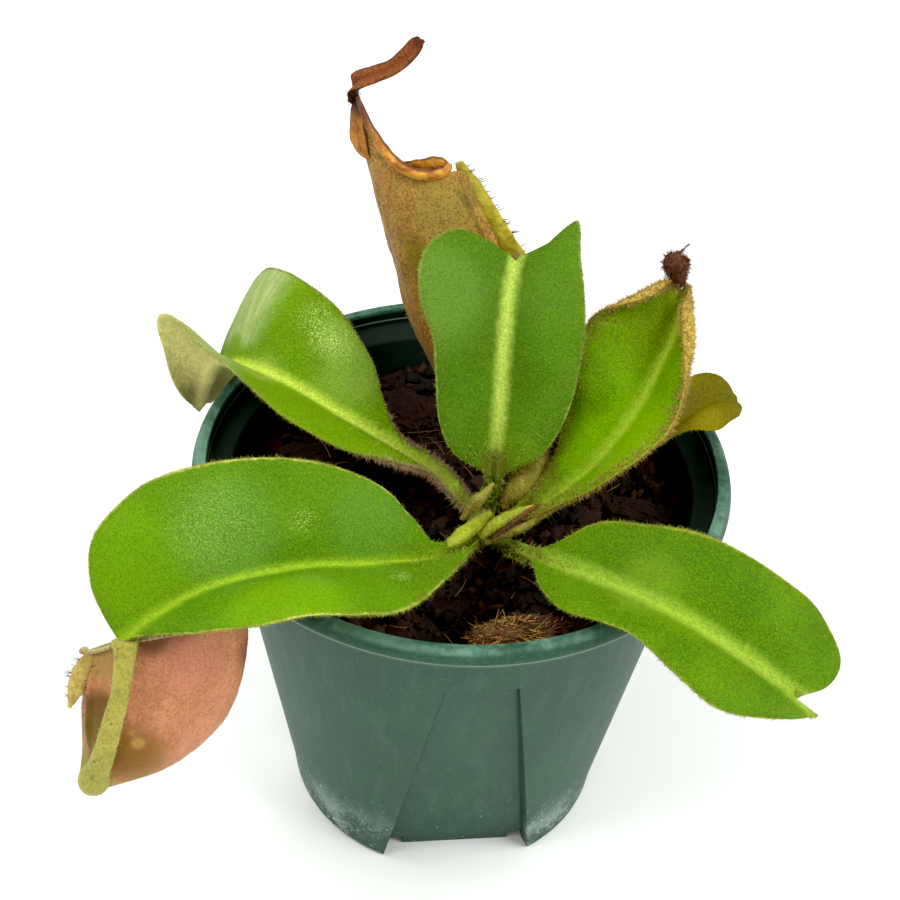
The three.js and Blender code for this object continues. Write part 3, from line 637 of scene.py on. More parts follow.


# %% Leaf finishes
# Not all of these patches are the leaves' own colours: the pale bluish ones are painted sheen, some brighter
# ones are painted light on half blades that face the lamps, some darker ones are painted shade on half blades
# that turn away, the below patches are painted shade, and the glints are painted highlights.
LEAF_FINISHES = {
    "leaf_front_left": leaf_finish(
        "leaf green",
        [(84, 122, 10), (66, 104, 8), (146, 176, 36), (206, 204, 96), (116, 124, 56)],
        patches=[
            ((-54, -44, 96), 17, 0.7, (98, 138, 3)), ((-38, -40, 100), 14, 0.65, (92, 134, 50)),
            ((-24, -48, 97), 7, 0.4, (112, 150, 60)), ((-15, -33, 97), 12, 0.6, (84, 126, 44)),
            ((-27, -55, 99), 17, 0.85, (108, 150, 8)), ((-5, -37, 91), 8, 0.5, (78, 98, 14)),
        ],
        over=[
            ((0, -25, 84), 7, 0.55, (72, 84, 10)), ((5, -15, 79), 6, 0.8, (70, 70, 14)),
            ((-5, -45.5, 93), 2.6, 0.6, (92, 92, 20)), ((1, -34, 89.5), 3, 0.6, (84, 84, 18)),
        ],
        glints=[((-26, -36, 100), 4, 0.5), ((-40, -38, 99), 14, 0.28), ((-9, -40, 94), 4, 0.65)],
        band_share=0.7,
        wide=1.2,
        hem=0.55,
    ),
    "leaf_back_left": leaf_finish(
        "leaf green, silvery crest",
        [(96, 134, 6), (82, 114, 4), (178, 200, 72), (150, 146, 72), (190, 186, 112)],
        patches=[
            ((-22, 8, 99), 12, 0.7, (120, 146, 62)), ((-39, 5, 98), 7, 0.8, (132, 152, 58)),
            ((-30, 8, 99), 6, 0.6, (80, 116, 4)), ((-43, 27, 101), 5, 0.9, (118, 150, 50)),
            ((-25, 12, 102.5), 6, 0.6, (128, 160, 60)), ((-52, 20, 84), 9, 0.7, (92, 74, 50)),
        ],
        below=[((-52, 20, 80), 9, 0.85, (122, 116, 66)), ((-3, -6, 82), 12, 0.9, (100, 96, 42))],
        over=[
            ((1, -7, 80), 5, 0.7, (104, 96, 42)), ((-5, -5, 85), 6, 0.4, (120, 112, 50)),
            ((-45.5, 13.2, 97.5), 4.5, 0.85, (104, 140, 24)),
        ],
        glints=[((-24.4, 9.9, 101.6), 6, 0.7), ((-29, 13.6, 105.5), 6, 0.7), ((-27, 11, 103), 6, 0.7)],
        crest_highlight=0.6,
        band_share=0.8,
        wide=1.6,
        felt=0.08,
    ),
    "leaf_centre": leaf_finish(
        "leaf green, blue sheen",
        [(76, 112, 18), (58, 92, 12), (178, 200, 84), (150, 170, 84), (116, 124, 56)],
        patches=[
            ((-6, 6, 118), 14, 0.75, (92, 124, 48)), ((12, 7, 118), 10, 0.55, (82, 114, 34)),
            ((17, 1, 113), 10, 0.5, (80, 120, 22)), ((9, -8, 92), 9, 0.7, (92, 124, 14)),
        ],
        over=[
            ((6, -7.6, 90), 4.5, 0.75, (88, 80, 26)), ((5.9, -8.6, 86), 3.5, 0.9, (50, 60, 8)),
            ((5.7, -10, 82), 4.5, 0.95, (40, 48, 6)),
        ],
        band_share=0.8,
        wide=1.5,
    ),
    "leaf_right": leaf_finish(
        "leaf bright",
        [(104, 146, 4), (80, 116, 2), (164, 188, 54), (150, 126, 48), (184, 158, 74)],
        patches=[
            ((35, 9, 116), 12, 0.85, (84, 86, 6)), ((30, 6, 112), 13, 0.6, (76, 98, 4)),
            ((21, -2, 105), 10, 0.75, (66, 92, 4)), ((30, -14, 101), 13, 0.75, (112, 150, 6)),
            ((15, -10, 87), 8, 0.8, (78, 82, 12)),
        ],
        over=[
            ((9.5, -14, 82.5), 4, 0.95, (56, 28, 8)), ((12.5, -13, 84.5), 3, 0.8, (70, 50, 10)),
            ((28.5, 9, 117.3), 2.6, 0.7, (172, 150, 62)), ((32.2, 11.2, 118.8), 2.8, 0.8, (166, 140, 60)),
            ((35.4, 13, 118.5), 2.4, 0.8, (120, 90, 36)),
        ],
        glints=[((24, -10, 97), 5, 0.65), ((30, -2, 106), 3, 0.65)],
        grit=0.2,
        band_share=0.5,
    ),
    "leaf_front_right": leaf_finish(
        "leaf green, front right",
        [(84, 120, 8), (60, 96, 5), (146, 174, 54), (160, 164, 56), (116, 124, 56)],
        patches=[
            ((32, -37, 90), 10, 0.6, (116, 146, 36)), ((40, -41, 89), 11, 0.6, (100, 136, 14)),
            ((22, -34, 88), 9, 0.6, (86, 122, 14)), ((46, -37, 93), 12, 0.6, (58, 94, 5)),
        ],
        over=[
            ((13, -23.6, 83), 5, 0.7, (104, 108, 36)), ((8.6, -20, 80.6), 5, 0.95, (52, 46, 18)),
            ((15.6, -26.8, 84.5), 0.8, 1.0, (30, 30, 14)), ((17.4, -27.7, 84.5), 0.7, 1.0, (30, 30, 14)),
        ],
        band_share=0.75,
        wide=2.0,
    ),
    "leaf_small_right": leaf_finish(
        "leaf olive",
        [(112, 104, 8), (78, 72, 4), (92, 84, 10), (130, 118, 40), (104, 96, 22)],
        patches=[((47, 9, 90), 6, 0.8, (136, 126, 8)), ((42, 12, 93), 4, 0.6, (84, 82, 24))],
        band_share=0.3,
    ),
}
LEAF_SLOTS = {name: "leaf_green" for name in LEAVES}
LEAF_SLOTS.update(leaf_right="leaf_bright", leaf_front_right="leaf_bright", leaf_small_right="leaf_olive")

# %% Leaf pieces
leaves = {}
for index, (name, leaf) in enumerate(LEAVES.items()):
    mesh = shaped(name, rod(92, 104), blade_place(leaf, seed=index + 1))
    leaves[name] = piece("fine_" + name, mesh, LEAF_FINISHES[name], [name])

# %% [markdown]
# ## Strands
#
# Tendrils, the stem, the rolled young leaf and the dried tip are all tubes of changing thickness. A curve
# object with a bevel could make them, but a mesh keeps marks for the finish and can be dented. The same rod
# is laid along a path, and its radius follows a short list.


# %% Strand helper
def strand_place(path, radii, flat=1.0, rough=0.0, rough_size=2.0, seed=1):
    """The function that moves a rod's vertices onto a strand. flat squeezes it, rough dents it."""
    radii = [[radius] for radius in radii]

    def place(rod_places):
        x, y, u = rod_places.T
        forward = heading(path, u)
        aside = unit(np.cross(np.array([[0.3, 1, 0.2]]), forward))
        up = np.cross(forward, aside)
        radius = glide(radii, u)[:, 0]
        middle = glide(path, u)
        there = middle + up * (x * radius * flat)[:, None] + aside * (y * radius)[:, None]
        if rough:
            dents = rough * ripple(there, rough_size, seed)
            there = there + unit(there - middle) * (dents * np.minimum(radius, 1))[:, None]
        return there, {"along": u, "round": np.arctan2(y, x) / np.pi}

    return place


# %% Tables of strands
TENDRIL_FRONT = [
    [-53.6, -52.8, 86.2], [-53.6, -54.6, 83.4], [-54.4, -56.7, 77.6], [-55.9, -58.6, 71.7],
    [-57.4, -59.8, 66], [-59, -60.2, 61.4], [-60, -59.6, 57.8], [-59.6, -57.8, 55],
]
TENDRIL_CENTRE = [
    [7.4, 15.6, 119.8], [8.6, 19.8, 116], [10, 20.4, 106], [9.4, 20, 96], [7, 19.4, 86], [4, 19, 79],
    [1.8, 19.3, 77.6], [0.7, 21, 80.8],
]
DRIED_TIP = [
    [37.9, 13.4, 117.6], [36.6, 13.8, 121], [35.9, 13.4, 122.9], [36.5, 13.6, 124.6], [38, 14.1, 126.2],
]
YOUNG_LEAF = [[7.9, -9.6, 81.4], [10.9, -7.8, 84.8], [13.4, -5.6, 88.2], [15.6, -2.8, 92.3]]
CROWN_STALKS = {
    "stalk_hairy": (
        [[5.8, -11, 88.4], [4.4, -12.4, 87.2], [2.8, -13.8, 86], [0.4, -15.7, 83.2]],
        [0.3, 0.9, 1.1, 0.5],
    ),
    "stalk_rolled": (
        [[5.4, -14.6, 84], [2.3, -20.2, 85.8], [-0.6, -24.4, 86.4], [-3.6, -27, 85.8]],
        [0.7, 1.3, 1.2, 0.15],
    ),
    "stalk_yellow": (
        [[13.2, -14.2, 86.6], [10.4, -15.6, 86], [7.3, -17.3, 85], [3.6, -19.4, 82.8]],
        [0.15, 0.7, 1.15, 0.9],
    ),
    "stalk_hollow": (
        [[6.2, -19.2, 82.6], [8.8, -17, 84], [11.4, -15.4, 85.4], [14.6, -13.8, 86.8]],
        [0.4, 1.0, 0.9, 0.1],
    ),
    "stalk_lower": (
        [[4.6, -18.6, 81], [8.9, -17.6, 82.4], [12.1, -17.1, 84], [18, -15, 87.6]],
        [0.9, 0.95, 0.8, 0.1],
    ),
}
STEM = [[4.6, -9.8, 60], [4.8, -10.4, 68], [5.2, -11.2, 75], [5.4, -11.2, 81.5]]


# %% Finishes of strands
def spotted_finish(name, shades, size=1.2):
    """A tendril or stalk, light and dark along it, with small dots of a third shade."""
    light, dark, dots = (tint(*shade) for shade in shades)
    stalk = Finish(name, Sheen_Weight=0.05, Sheen_Roughness=0.5, Specular_IOR_Level=0.3)
    stalk.soften(0.1, (0.001, 0.0015, 0.0005))
    fine, blotch = stalk.grain(0.5, 3), stalk.grain(size, 2)
    colour = stalk.mix(stalk.fade(stalk.grain(5, 2), 0.35, 0.65), light, dark)
    colour = stalk.touch(colour, 0.45, fine, 0.42, 0.74, lighter(light, 1.4, 0.006))
    colour = stalk.touch(colour, 0.4, fine, 0.55, 0.28, lighter(dark, 0.6))
    colour = stalk.touch(colour, 0.8, blotch, 0.66, 0.72, dots)
    return stalk.paint(colour, 0.45 + 0.25 * fine, fine + 0.5 * blotch, 0.12)


tendril_finish = spotted_finish("tendril", [(160, 152, 62), (138, 134, 46), (84, 84, 26)])
withered_finish = spotted_finish("withered tendril", [(110, 92, 44), (84, 66, 30), (48, 30, 16)])
crown_finish = spotted_finish("crown", [(136, 130, 36), (96, 82, 20), (58, 40, 14)], 0.8)
bright_finish = spotted_finish("bright stalk", [(146, 158, 18), (118, 126, 12), (70, 70, 12)], 0.6)
hollow_finish = spotted_finish("crown hollow", [(104, 62, 12), (70, 38, 8), (44, 24, 6)], 0.6)
dried_finish = spotted_finish("dried tissue", [(96, 50, 28), (60, 28, 16), (34, 16, 10)], 0.8)

# %% Strand pieces
STRANDS = {  # path, radii, how it is dented, how many vertices round it and along it, finish, slot
    "tendril_front_left": (
        TENDRIL_FRONT,
        [2.2, 1.7, 1.6, 1.75, 1.9, 2.2, 2.7, 1.2],
        {"rough": 0.15},
        (36, 110),
        tendril_finish,
        "tendril",
    ),
    "tendril_centre": (
        TENDRIL_CENTRE,
        [1.0, 0.85, 0.85, 1.2],
        {"rough": 0.15},
        (20, 80),
        withered_finish,
        "tendril",
    ),
    "dried_tip_right": (
        DRIED_TIP,
        [0.35, 1.9, 1.9, 0.35, 0.1],
        {"rough": 0.8, "rough_size": 1.1},
        (40, 50),
        dried_finish,
        "dried_tissue",
    ),
    "young_leaf": (
        YOUNG_LEAF,
        [1, 2.7, 2.6, 0.4],
        {"rough": 0.35, "rough_size": 2.5},
        (40, 60),
        crown_finish,
        "leaf_olive",
    ),
}
strands = {}
for name, (path, radii, dents, counts, finish, slot) in STRANDS.items():
    mesh = shaped(name, rod(*counts), strand_place(path, radii, **dents))
    strands[name] = piece("fine_" + name, mesh, finish, [name])
CROWN_FINISHES = {"stalk_rolled": bright_finish, "stalk_yellow": bright_finish, "stalk_hollow": hollow_finish}
crown_stalks = {}
for index, (name, (path, radii)) in enumerate(CROWN_STALKS.items()):
    mesh = shaped(name, rod(24, 40), strand_place(path, radii, rough=0.2, rough_size=1.6, seed=index + 4))
    crown_stalks[name] = piece(name, mesh, CROWN_FINISHES.get(name, crown_finish))

# %% Stem and roots
ROOT_ANGLES = [20, 75, 140, 200, 262, 318]
ROOT_REACH, ROOT_DEPTH = 20, 34


def root_path(angle, index):
    """A root leaves the stem's foot and spreads outwards and down."""
    start = Vector(STEM[0]) + Vector((0, 0, 3))
    reach = ROOT_REACH * (1 - 0.08 * (index % 3))
    path = []
    for share in (0, 0.3, 0.65, 1):
        out = 1 + reach * share**0.7
        turn = math.radians(angle) + 0.25 * math.sin(3 * share + index)
        away = Vector((out * math.cos(turn), out * math.sin(turn), -ROOT_DEPTH * share**1.4))
        path.append(list(start + away))
    return path


def joined(name, meshes):
    """One mesh that holds several."""
    bm = bmesh.new()
    for mesh in meshes:
        bm.from_mesh(mesh)
    return written(name, bm)


parts = [shaped("stem", rod(28, 30), strand_place(STEM, [2.6, 2.6, 2.0, 1.2], rough=0.2))]
for index, angle in enumerate(ROOT_ANGLES):
    parts.append(shaped("root", rod(10, 24), strand_place(root_path(angle, index), [0.9, 0.9, 0.35])))
piece("fine_stem", joined("stem", parts), crown_finish, ["stem"])

# %% [markdown]
# ## The pitchers
#
# A pitcher is a cup whose mouth slants up to a neck at the back, with a rolled and ribbed lip, and two
# fringed wings down its front. The rod is turned outside and then inside in one go: the first part of its
# length is the outer wall, and the rest is the inner wall. So the cup is hollow and closed as one body.

# %% Pitcher tables
PITCHERS = {
    "pitcher_front_left": {
        "rings": [
            [-60.6, -57.4, 54.2, 2, 2], [-58.6, -54.9, 54.8, 5, 4.2], [-55.1, -51.6, 56.5, 8.6, 6.8],
            [-51.9, -48.7, 61.5, 11.8, 8.4], [-49.9, -46, 68.5, 13.4, 8.8], [-48.9, -43.6, 76, 13.6, 8.2],
            [-48.9, -42.2, 83.6, 12.8, 7.2],
        ],
        "lean": [0.12, 0.3, 0.94],
        "front": [-0.95, -0.25, 0.1],
        "neck": 4,
        "neck_sharpness": 6,
        "dip": 8.5,
        "dip_sharpness": 3.5,
        "drop": [9, 90],
        "wing": [0.42, 0.86, 1.2],
        "dents": 0.02,
    },
    "pitcher_centre": {
        "rings": [
            [0.8, 20.7, 80.4, 2, 2], [0.2, 23, 85.5, 5.4, 4.6], [-2.2, 26.4, 97, 10, 7],
            [-4.6, 27.4, 110, 12, 6.8], [-8.6, 28.2, 121, 11.4, 4.6], [-12, 28.6, 130, 10, 1.9],
        ],
        "lean": [-0.28, 0.1, 0.95],
        "front": [0.9, -0.42, 0.1],
        "neck": 12,
        "neck_sharpness": 4,
        "dip": 0.5,
        "dip_sharpness": 1,
        "drop": [2.6, 270],
        "wing": [0.28, 0.9, 1.0],
        "dents": 0.05,
    },
}
WING_TURNS = (155, 205)  # degrees from the back
FIN_SPREAD = 2.6  # of a wing's foot, in degrees
SLANT_START = 0.7  # the height where the mouth's slant begins
PITCHER_SLOTS = {"pitcher_front_left": "pitcher_living", "pitcher_centre": "pitcher_withered"}


# %% Cup surface
def cup_point(cup, height, turn, share):
    """Places on a cup: height 0 to 1, turn in degrees from the back, share of the ring's radius."""
    angle = np.radians(turn)
    slant = smooth(height, SLANT_START, 1)
    back = (1 + np.cos(angle)) / 2
    climb = cup["neck"] * back ** cup["neck_sharpness"] - cup["dip"] * (1 - back) ** cup["dip_sharpness"]
    drop, side = cup["drop"]
    climb = slant * (climb - drop * np.clip(np.cos(angle - math.radians(side)), 0, 1))
    start, end, width = cup["wing"]
    along = np.clip((height - start) / (end - start), 0, 1)
    fin = sum(np.exp(-(((turn - wing) / FIN_SPREAD) ** 2)) for wing in WING_TURNS)
    extra = np.where(share >= 0.999, width * np.sqrt(np.sin(np.pi * along)) * fin, 0)
    x, y, z, deep, wide = glide(cup["rings"], height).T
    forward = unit(np.array(cup["lean"], float))
    aside = unit(np.cross(np.array(cup["front"], float), forward))
    front = np.cross(forward, aside)
    ahead = -np.cos(angle) * (deep * share + extra)
    sideways = np.sin(angle) * (wide * share + extra)
    middle = np.stack([x, y, z], axis=1)
    return middle + ahead[:, None] * front + sideways[:, None] * aside + climb[:, None] * forward


def cup_place(cup, seed):
    """The function that moves a rod's vertices onto the two walls of a cup.

    At each knot along the rod it has a share of the ring's radius and a height on the cup."""
    knots = [0, 0.04, 0.5, 0.56, 0.585, 0.6, 0.64, 0.9, 0.95, 1]
    shares = [0.7, 1, 1, 1.0, 0.99, 0.95, 0.92, 0.9, 0.8, 0.3]
    heights = [0, 0.03, 0.86, 0.96, 0.99, 1, 0.96, 0.26, 0.17, 0.15]

    def place(rod_places):
        x, y, s = rod_places.T
        turn = np.degrees(np.arctan2(y, x)) % 360
        share = np.interp(s, knots, shares) * np.hypot(x, y)
        height = np.interp(s, knots, heights)
        spots = np.stack([np.cos(np.radians(turn)), np.sin(np.radians(turn)), 2.2 * height], axis=1)
        dents = 1 + cup["dents"] * (ripple(spots, 0.35, seed) + 0.6 * ripple(spots, 0.12, seed + 3))
        there = cup_point(cup, height, turn, share)
        centre = glide(cup["rings"], height)[:, :3]
        there = centre + (there - centre) * np.where(height > 0.9, 1, dents)[:, None]
        return there, {"height": height, "turn": turn / 360, "inside": (s > 0.6).astype(float)}

    return place


# %% Pitcher finishes
def pitcher_finish(name, shades, spots=(), rust_share=0.15, grit=0.5):
    """Leathery skin in four shades, skin, warm, streaks and inside, with speckles and round patches."""
    skin, warm, streak, inside = (tint(*shade) for shade in shades)
    cup = Finish(name, Sheen_Weight=0.05, Sheen_Roughness=0.4, Specular_IOR_Level=0.3)
    cup.soften(0.1, (0.002, 0.001, 0.0006))
    flow = cup.node("ShaderNodeCombineXYZ", {}, {0: 0.3 * cup.mark("turn"), 1: 0.012 * cup.mark("height")})
    lines, fine, blotch = cup.grain(1.6, 3, where=flow), cup.grain(0.45, 3), cup.grain(5, 3)
    colour = cup.mix(cup.fade(blotch, 0.38, 0.62), skin, warm)
    colour = cup.touch(colour, 0.55, lines, 0.5, 0.7, streak)
    colour = cup.touch(colour, grit, fine, 0.48, 0.7, lighter(skin, 1.3, 0.02))
    colour = cup.veiled(colour, spots, 0.16 * blotch)
    colour = cup.touch(colour, grit, fine, 0.5, 0.3, lighter(warm, 0.5))
    colour = cup.touch(colour, rust_share, cup.grain(1.1, 3), 0.56, 0.7, lighter(streak, 0.7))
    colour = cup.mix(cup.mark("inside"), colour, inside)
    return cup.paint(colour, 0.4 + 0.3 * fine, fine + 0.5 * lines + 0.6 * cup.grain(1.4, 2), 0.15)


CUP_FINISHES = {
    "pitcher_front_left": pitcher_finish(
        "pitcher pink",
        [(186, 124, 86), (172, 112, 74), (160, 98, 64), (110, 84, 34)],
        spots=[
            # Painted light among these spots: the two small pale ones at (-53.4, -57, 67.2) and (-52.4, -57,
            # 65) are a painted glint, the dark brown ones at (-50, -50, 85) and (-44, -49, 86) are painted
            # shadow under the leaf, and the dark olive ones at (-58.5, -54.2, 70), (-60.5, -54.5, 65) and
            # (-59.5, -56.5, 62) are painted shade between the wing and the tendril. The others are the
            # pitcher's own colours.
            ((-53.6, -55, 62), 10.5, 1.0, (128, 86, 10)), ((-53.4, -57, 67.2), 1.8, 0.4, (206, 166, 76)),
            ((-52.4, -57, 65), 2.2, 0.4, (214, 176, 96)), ((-50, -50, 85), 7, 1.0, (108, 58, 20)),
            ((-44, -49, 86), 6, 0.8, (120, 66, 28)), ((-53, -55, 56), 6, 0.8, (128, 112, 40)),
            ((-58.5, -51, 80), 9, 1.0, (160, 124, 64)), ((-58.5, -54.2, 70), 6.5, 1.0, (104, 70, 0)),
            ((-60.5, -54.5, 65), 6.5, 1.0, (108, 84, 2)), ((-59.5, -56.5, 62), 5, 1.0, (120, 96, 8)),
            ((-65, -47, 69), 6.5, 1.0, (96, 80, 10)), ((-65, -48, 61), 8, 1.0, (110, 98, 22)),
            ((-62, -54, 57), 6, 1.0, (124, 112, 34)), ((-43, -50, 78), 9, 0.45, (186, 112, 96)),
            ((-31, -42, 73), 7, 0.55, (158, 96, 60)), ((-60, -58, 55), 6.5, 1.0, (150, 136, 50)),
            ((-36, -42, 74), 5, 0.7, (134, 76, 48)),
        ],
        grit=0.45,
    ),
    "pitcher_centre": pitcher_finish(
        "pitcher withered",
        [(166, 128, 52), (142, 102, 34), (120, 74, 22), (150, 98, 26)],
        spots=[
            ((-6, 23, 124), 11, 0.8, (156, 134, 56)), ((-12, 22, 114), 7, 0.9, (128, 106, 8)),
            ((-8, 22, 110), 7, 0.7, (110, 92, 30)), ((-2, 24, 127), 4, 0.7, (108, 90, 36)),
            ((-19, 28, 126), 5, 0.6, (168, 110, 44)),
        ],
        rust_share=0.5,
        grit=0.8,
    ),
}

# %% Pitcher pieces
pitchers = {}
for index, (name, cup) in enumerate(PITCHERS.items()):
    mesh = shaped(name, rod(240, 100), cup_place(cup, index + 2))
    pitchers[name] = piece("fine_" + name, mesh, CUP_FINISHES[name], [name])


# %% [markdown]
# The rolled lip follows the rim of the mouth all the way round. It starts as a closed ring, whose two
# angles say how far round the mouth a vertex is and where on the roll it lies. Fine ribs cross it.


# %% Rolled lips
def lip_place(cup, wide, thick, droop, ribs):
    """The function that lays a ring on the rim of a cup."""

    def place(ring_places):
        x, y, z = ring_places.T
        turn = np.degrees(np.arctan2(y, x)) % 360
        tube = np.arctan2(z, np.hypot(x, y) - HOOP_RADIUS)
        top = np.ones_like(turn)
        rim = cup_point(cup, top, turn, 0.98 * top)
        outer = cup_point(cup, top, turn, 1.2 * top)
        outward = unit(outer - rim)
        upward = np.broadcast_to(unit(np.array(cup["lean"], float)), outward.shape)
        front = (1 - np.cos(np.radians(turn))) / 2
        width = wide * (0.55 + 0.45 * front)
        rib = 1 + 0.05 * np.sin(ribs * np.radians(turn)) * (np.cos(tube) + 1)
        out = width * (0.55 + np.cos(tube) * rib)
        up = thick * np.sin(tube) * rib - droop * width * (0.5 + 0.5 * np.cos(tube)) ** 2
        there = rim + outward * out[:, None] + upward * up[:, None]
        return there, {"turn": turn / 360, "roll": np.cos(tube)}

    return place


LIP_RIBS = 80
RIB_LINES = 560  # the painted ribs, as radians round the whole mouth


def lip_finish(name, light, dark):
    """A glossy, ribbed lip that is darker where it rolls under."""
    lip = Finish(name, Coat_Weight=0.2, Coat_Roughness=0.25)
    lip.soften(0.1, (0.002, 0.0008, 0.0004))
    ribs = lip.node("ShaderNodeMath", {"operation": "SINE"}, {0: RIB_LINES * lip.mark("turn")})
    blotch = lip.grain(2.4, 3)
    colour = lip.mix(lip.fade(blotch, 0.4, 0.66), light, dark)
    colour = lip.touch(colour, 0.5, ribs, 0.2, 1.0, lighter(dark, 0.5))
    colour = lip.touch(colour, 0.5, lip.mark("roll"), 0.5, 0.98, lighter(dark, 0.35))
    return lip.paint(colour, 0.32 + 0.2 * blotch, ribs + blotch, 0.1)


place = lip_place(PITCHERS["pitcher_front_left"], wide=0.7, thick=0.45, droop=0.5, ribs=LIP_RIBS)
finish = lip_finish("lip green", tint(206, 196, 116), tint(176, 154, 76))
piece("lip_front_left", shaped("lip", hoop(20, 320), place), finish)

# %% [markdown]
# The lip of the withered pitcher has dried and come away in strips: one rolls along the near edge, one lies
# behind the slit of the mouth, and a flap hangs from the neck. They are strands again, squeezed flat. The
# wings of both pitchers are such strips too, so that their fringed edges stand clear of the cup.


# %% Dry strips and wings
def strip_finish(name, shades, edge_share):
    """A thin strip of tissue in three shades: light, dark, and the darkest along its edges."""
    light, dark, edge = (tint(*shade) for shade in shades)
    strip = Finish(name, Specular_IOR_Level=0.35, Coat_Weight=0.1, Coat_Roughness=0.4)
    strip.soften(0.15, (0.002, 0.001, 0.0004))
    across = strip.math("ABSOLUTE", strip.math("SINE", math.pi * strip.mark("round")))
    fine, blotch = strip.grain(0.5, 3), strip.grain(2.2, 3)
    colour = strip.mix(strip.fade(blotch, 0.36, 0.66), light, dark)
    colour = strip.touch(colour, 0.5, fine, 0.5, 0.74, lighter(light, 1.4, 0.03))
    colour = strip.touch(colour, edge_share, across + 0.3 * fine, 0.94, 1.12, edge)
    colour = strip.touch(colour, edge_share, strip.mark("along") + 0.1 * blotch, 0.42, 0.08, edge)
    return strip.paint(colour, 0.4 + 0.3 * fine, fine + 0.6 * blotch, 0.14)


amber_finish = strip_finish("lip amber", [(204, 146, 44), (158, 92, 26), (70, 28, 16)], 0.85)
flap_finish = strip_finish("flap amber", [(186, 124, 40), (148, 88, 30), (60, 24, 14)], 1.0)
wing_dry_finish = strip_finish("wing yellow", [(196, 184, 58), (164, 152, 38), (124, 106, 32)], 0.4)
wing_pale_finish = strip_finish("wing pale", [(196, 174, 84), (170, 144, 60), (140, 110, 46)], 0.4)
STRIPS = {  # path, radii, how far it is squeezed, finish
    "lip_near": (
        [
            [-23.4, 32, 142], [-21.2, 29.9, 137.8], [-19.2, 28.4, 135.3], [-17.5, 27.4, 133.4],
            [-15.6, 26.6, 131.7], [-13.1, 25.9, 130.6], [-10.6, 25.4, 130.2], [-8.2, 25.1, 130.6],
            [-6.4, 25, 131.7], [-5.7, 25.5, 132.9],
        ],
        [0.5, 0.8, 1.05, 1.1, 1.15, 1.15, 1.15, 1.1, 0.9, 0.5],
        0.75,
        amber_finish,
    ),
    "lip_far": (
        [
            [-15.4, 29.6, 129.6], [-12.3, 28.6, 129.9], [-9.6, 27.8, 130.7], [-7.4, 27, 131.6],
            [-5.9, 26.2, 131.6],
        ],
        [0.5, 1.5, 1.9, 1.9, 1.1],
        0.3,
        amber_finish,
    ),
    "lip_flap": (
        [
            [-23.6, 32.2, 140.9], [-23.3, 31.9, 137.3], [-23, 31.7, 134.2], [-22.3, 31.4, 131.5],
            [-20.9, 31, 129.6],
        ],
        [0.6, 1.3, 1.7, 1.5, 0.5],
        0.25,
        flap_finish,
    ),
    "wing_centre": (
        [
            [-4.2, 25.7, 133.2], [-1.6, 25, 128.9], [1, 24.4, 124.7], [3.7, 23.8, 120.5],
            [6.2, 23.4, 116.6], [8.4, 23, 112.9], [10, 22.8, 108],
        ],
        [0.9, 2.1, 2.4, 2.5, 2.6, 2.5, 1.0],
        0.3,
        wing_dry_finish,
    ),
    "wing_front_left": (
        [[-60.6, -49.6, 79.4], [-62.4, -50.5, 75], [-63.7, -51, 71], [-65.1, -51.5, 67]],
        [0.9, 1.6, 1.35, 0.3],
        0.3,
        wing_pale_finish,
    ),
}
STRIP_SLOTS = {"wing_front_left": "pitcher_living"}
strips = {}
for index, (name, (path, radii, flat, finish)) in enumerate(STRIPS.items()):
    place = strand_place(path, radii, flat, rough=0.25, rough_size=1.5, seed=index + 9)
    slot = STRIP_SLOTS.get(name, "pitcher_withered")
    strips[name] = piece(name, shaped(name, rod(40, 90), place), finish)

# %% [markdown]
# The lids are small blades, so they are made as the leaves are. The withered one has dried to a twisted
# strip.

# %% Lids
LIDS = {
    "lid_front_left": {
        "spine": [
            [-37.2, -38.2, 87], [-40.6, -37.2, 89], [-46, -36, 90.6], [-52, -35.8, 90],
            [-56.6, -36.2, 87.6],
        ],
        "blade": [
            [0, 0, 1.6, 20, 0, 1.6, 20], [0.25, 0, 6.4, 0, 0, 6.4, 0], [0.5, 0, 8.4, -8, 0, 8.4, -8],
            [0.75, 0, 7.6, -10, 0, 7.6, -10], [0.93, 0.6, 4.4, -10, 0.6, 4.4, -10],
            [1, 0.6, 1.4, -10, 0.6, 1.4, -10],
        ],
        "arch": 0.04,
    },
    "lid_centre": {
        "spine": [
            [-24.5, 33.2, 140.2], [-23.4, 31, 145], [-20, 30.6, 147], [-16.8, 30, 149],
            [-14.2, 30.6, 151.4], [-12.2, 31.2, 154.2],
        ],
        "blade": [
            [0, 0, 1.2, 60, 0, 1, -30], [0.2, 0, 2.6, 70, 0, 2.4, -40], [0.4, -0.6, 2.6, 60, 0.6, 2.4, -50],
            [0.6, 0, 2.3, 50, 0, 2.3, -50], [0.8, 0, 2.4, 40, 0, 2.4, -50], [0.93, 0, 2.2, 30, 0, 2.2, -50],
            [1, 0, 1.1, 20, 0, 1.1, -40],
        ],
        "arch": 0.1,
    },
}
lid_pink = leaf_finish(
    "lid pink",
    [(140, 96, 52), (120, 76, 44), (140, 120, 60), (100, 56, 30), (120, 100, 50)],
    petiole=(120, 100, 50),
)
lid_dry = leaf_finish(
    "lid dried",
    [(160, 104, 56), (92, 44, 26), (110, 56, 28), (46, 22, 18), (140, 84, 48)],
    over=[((-24.5, 32.8, 141.5), 4.5, 0.9, (60, 26, 22)), ((-12.2, 31, 153.8), 2.6, 0.7, (70, 34, 24))],
    hem=1.2,
    petiole=(64, 30, 22),
)
place = blade_place(LIDS["lid_front_left"], rib=0.9, thickness=0.5, swell=0.3, seed=11)
mesh = shaped("lid", rod(60, 50), place)
piece("fine_lid_front_left", mesh, lid_pink, ["lid_front_left"])
place = blade_place(LIDS["lid_centre"], rib=1.2, thickness=0.7, swell=0.5, seed=12)
mesh = shaped("lid", rod(60, 80), place)
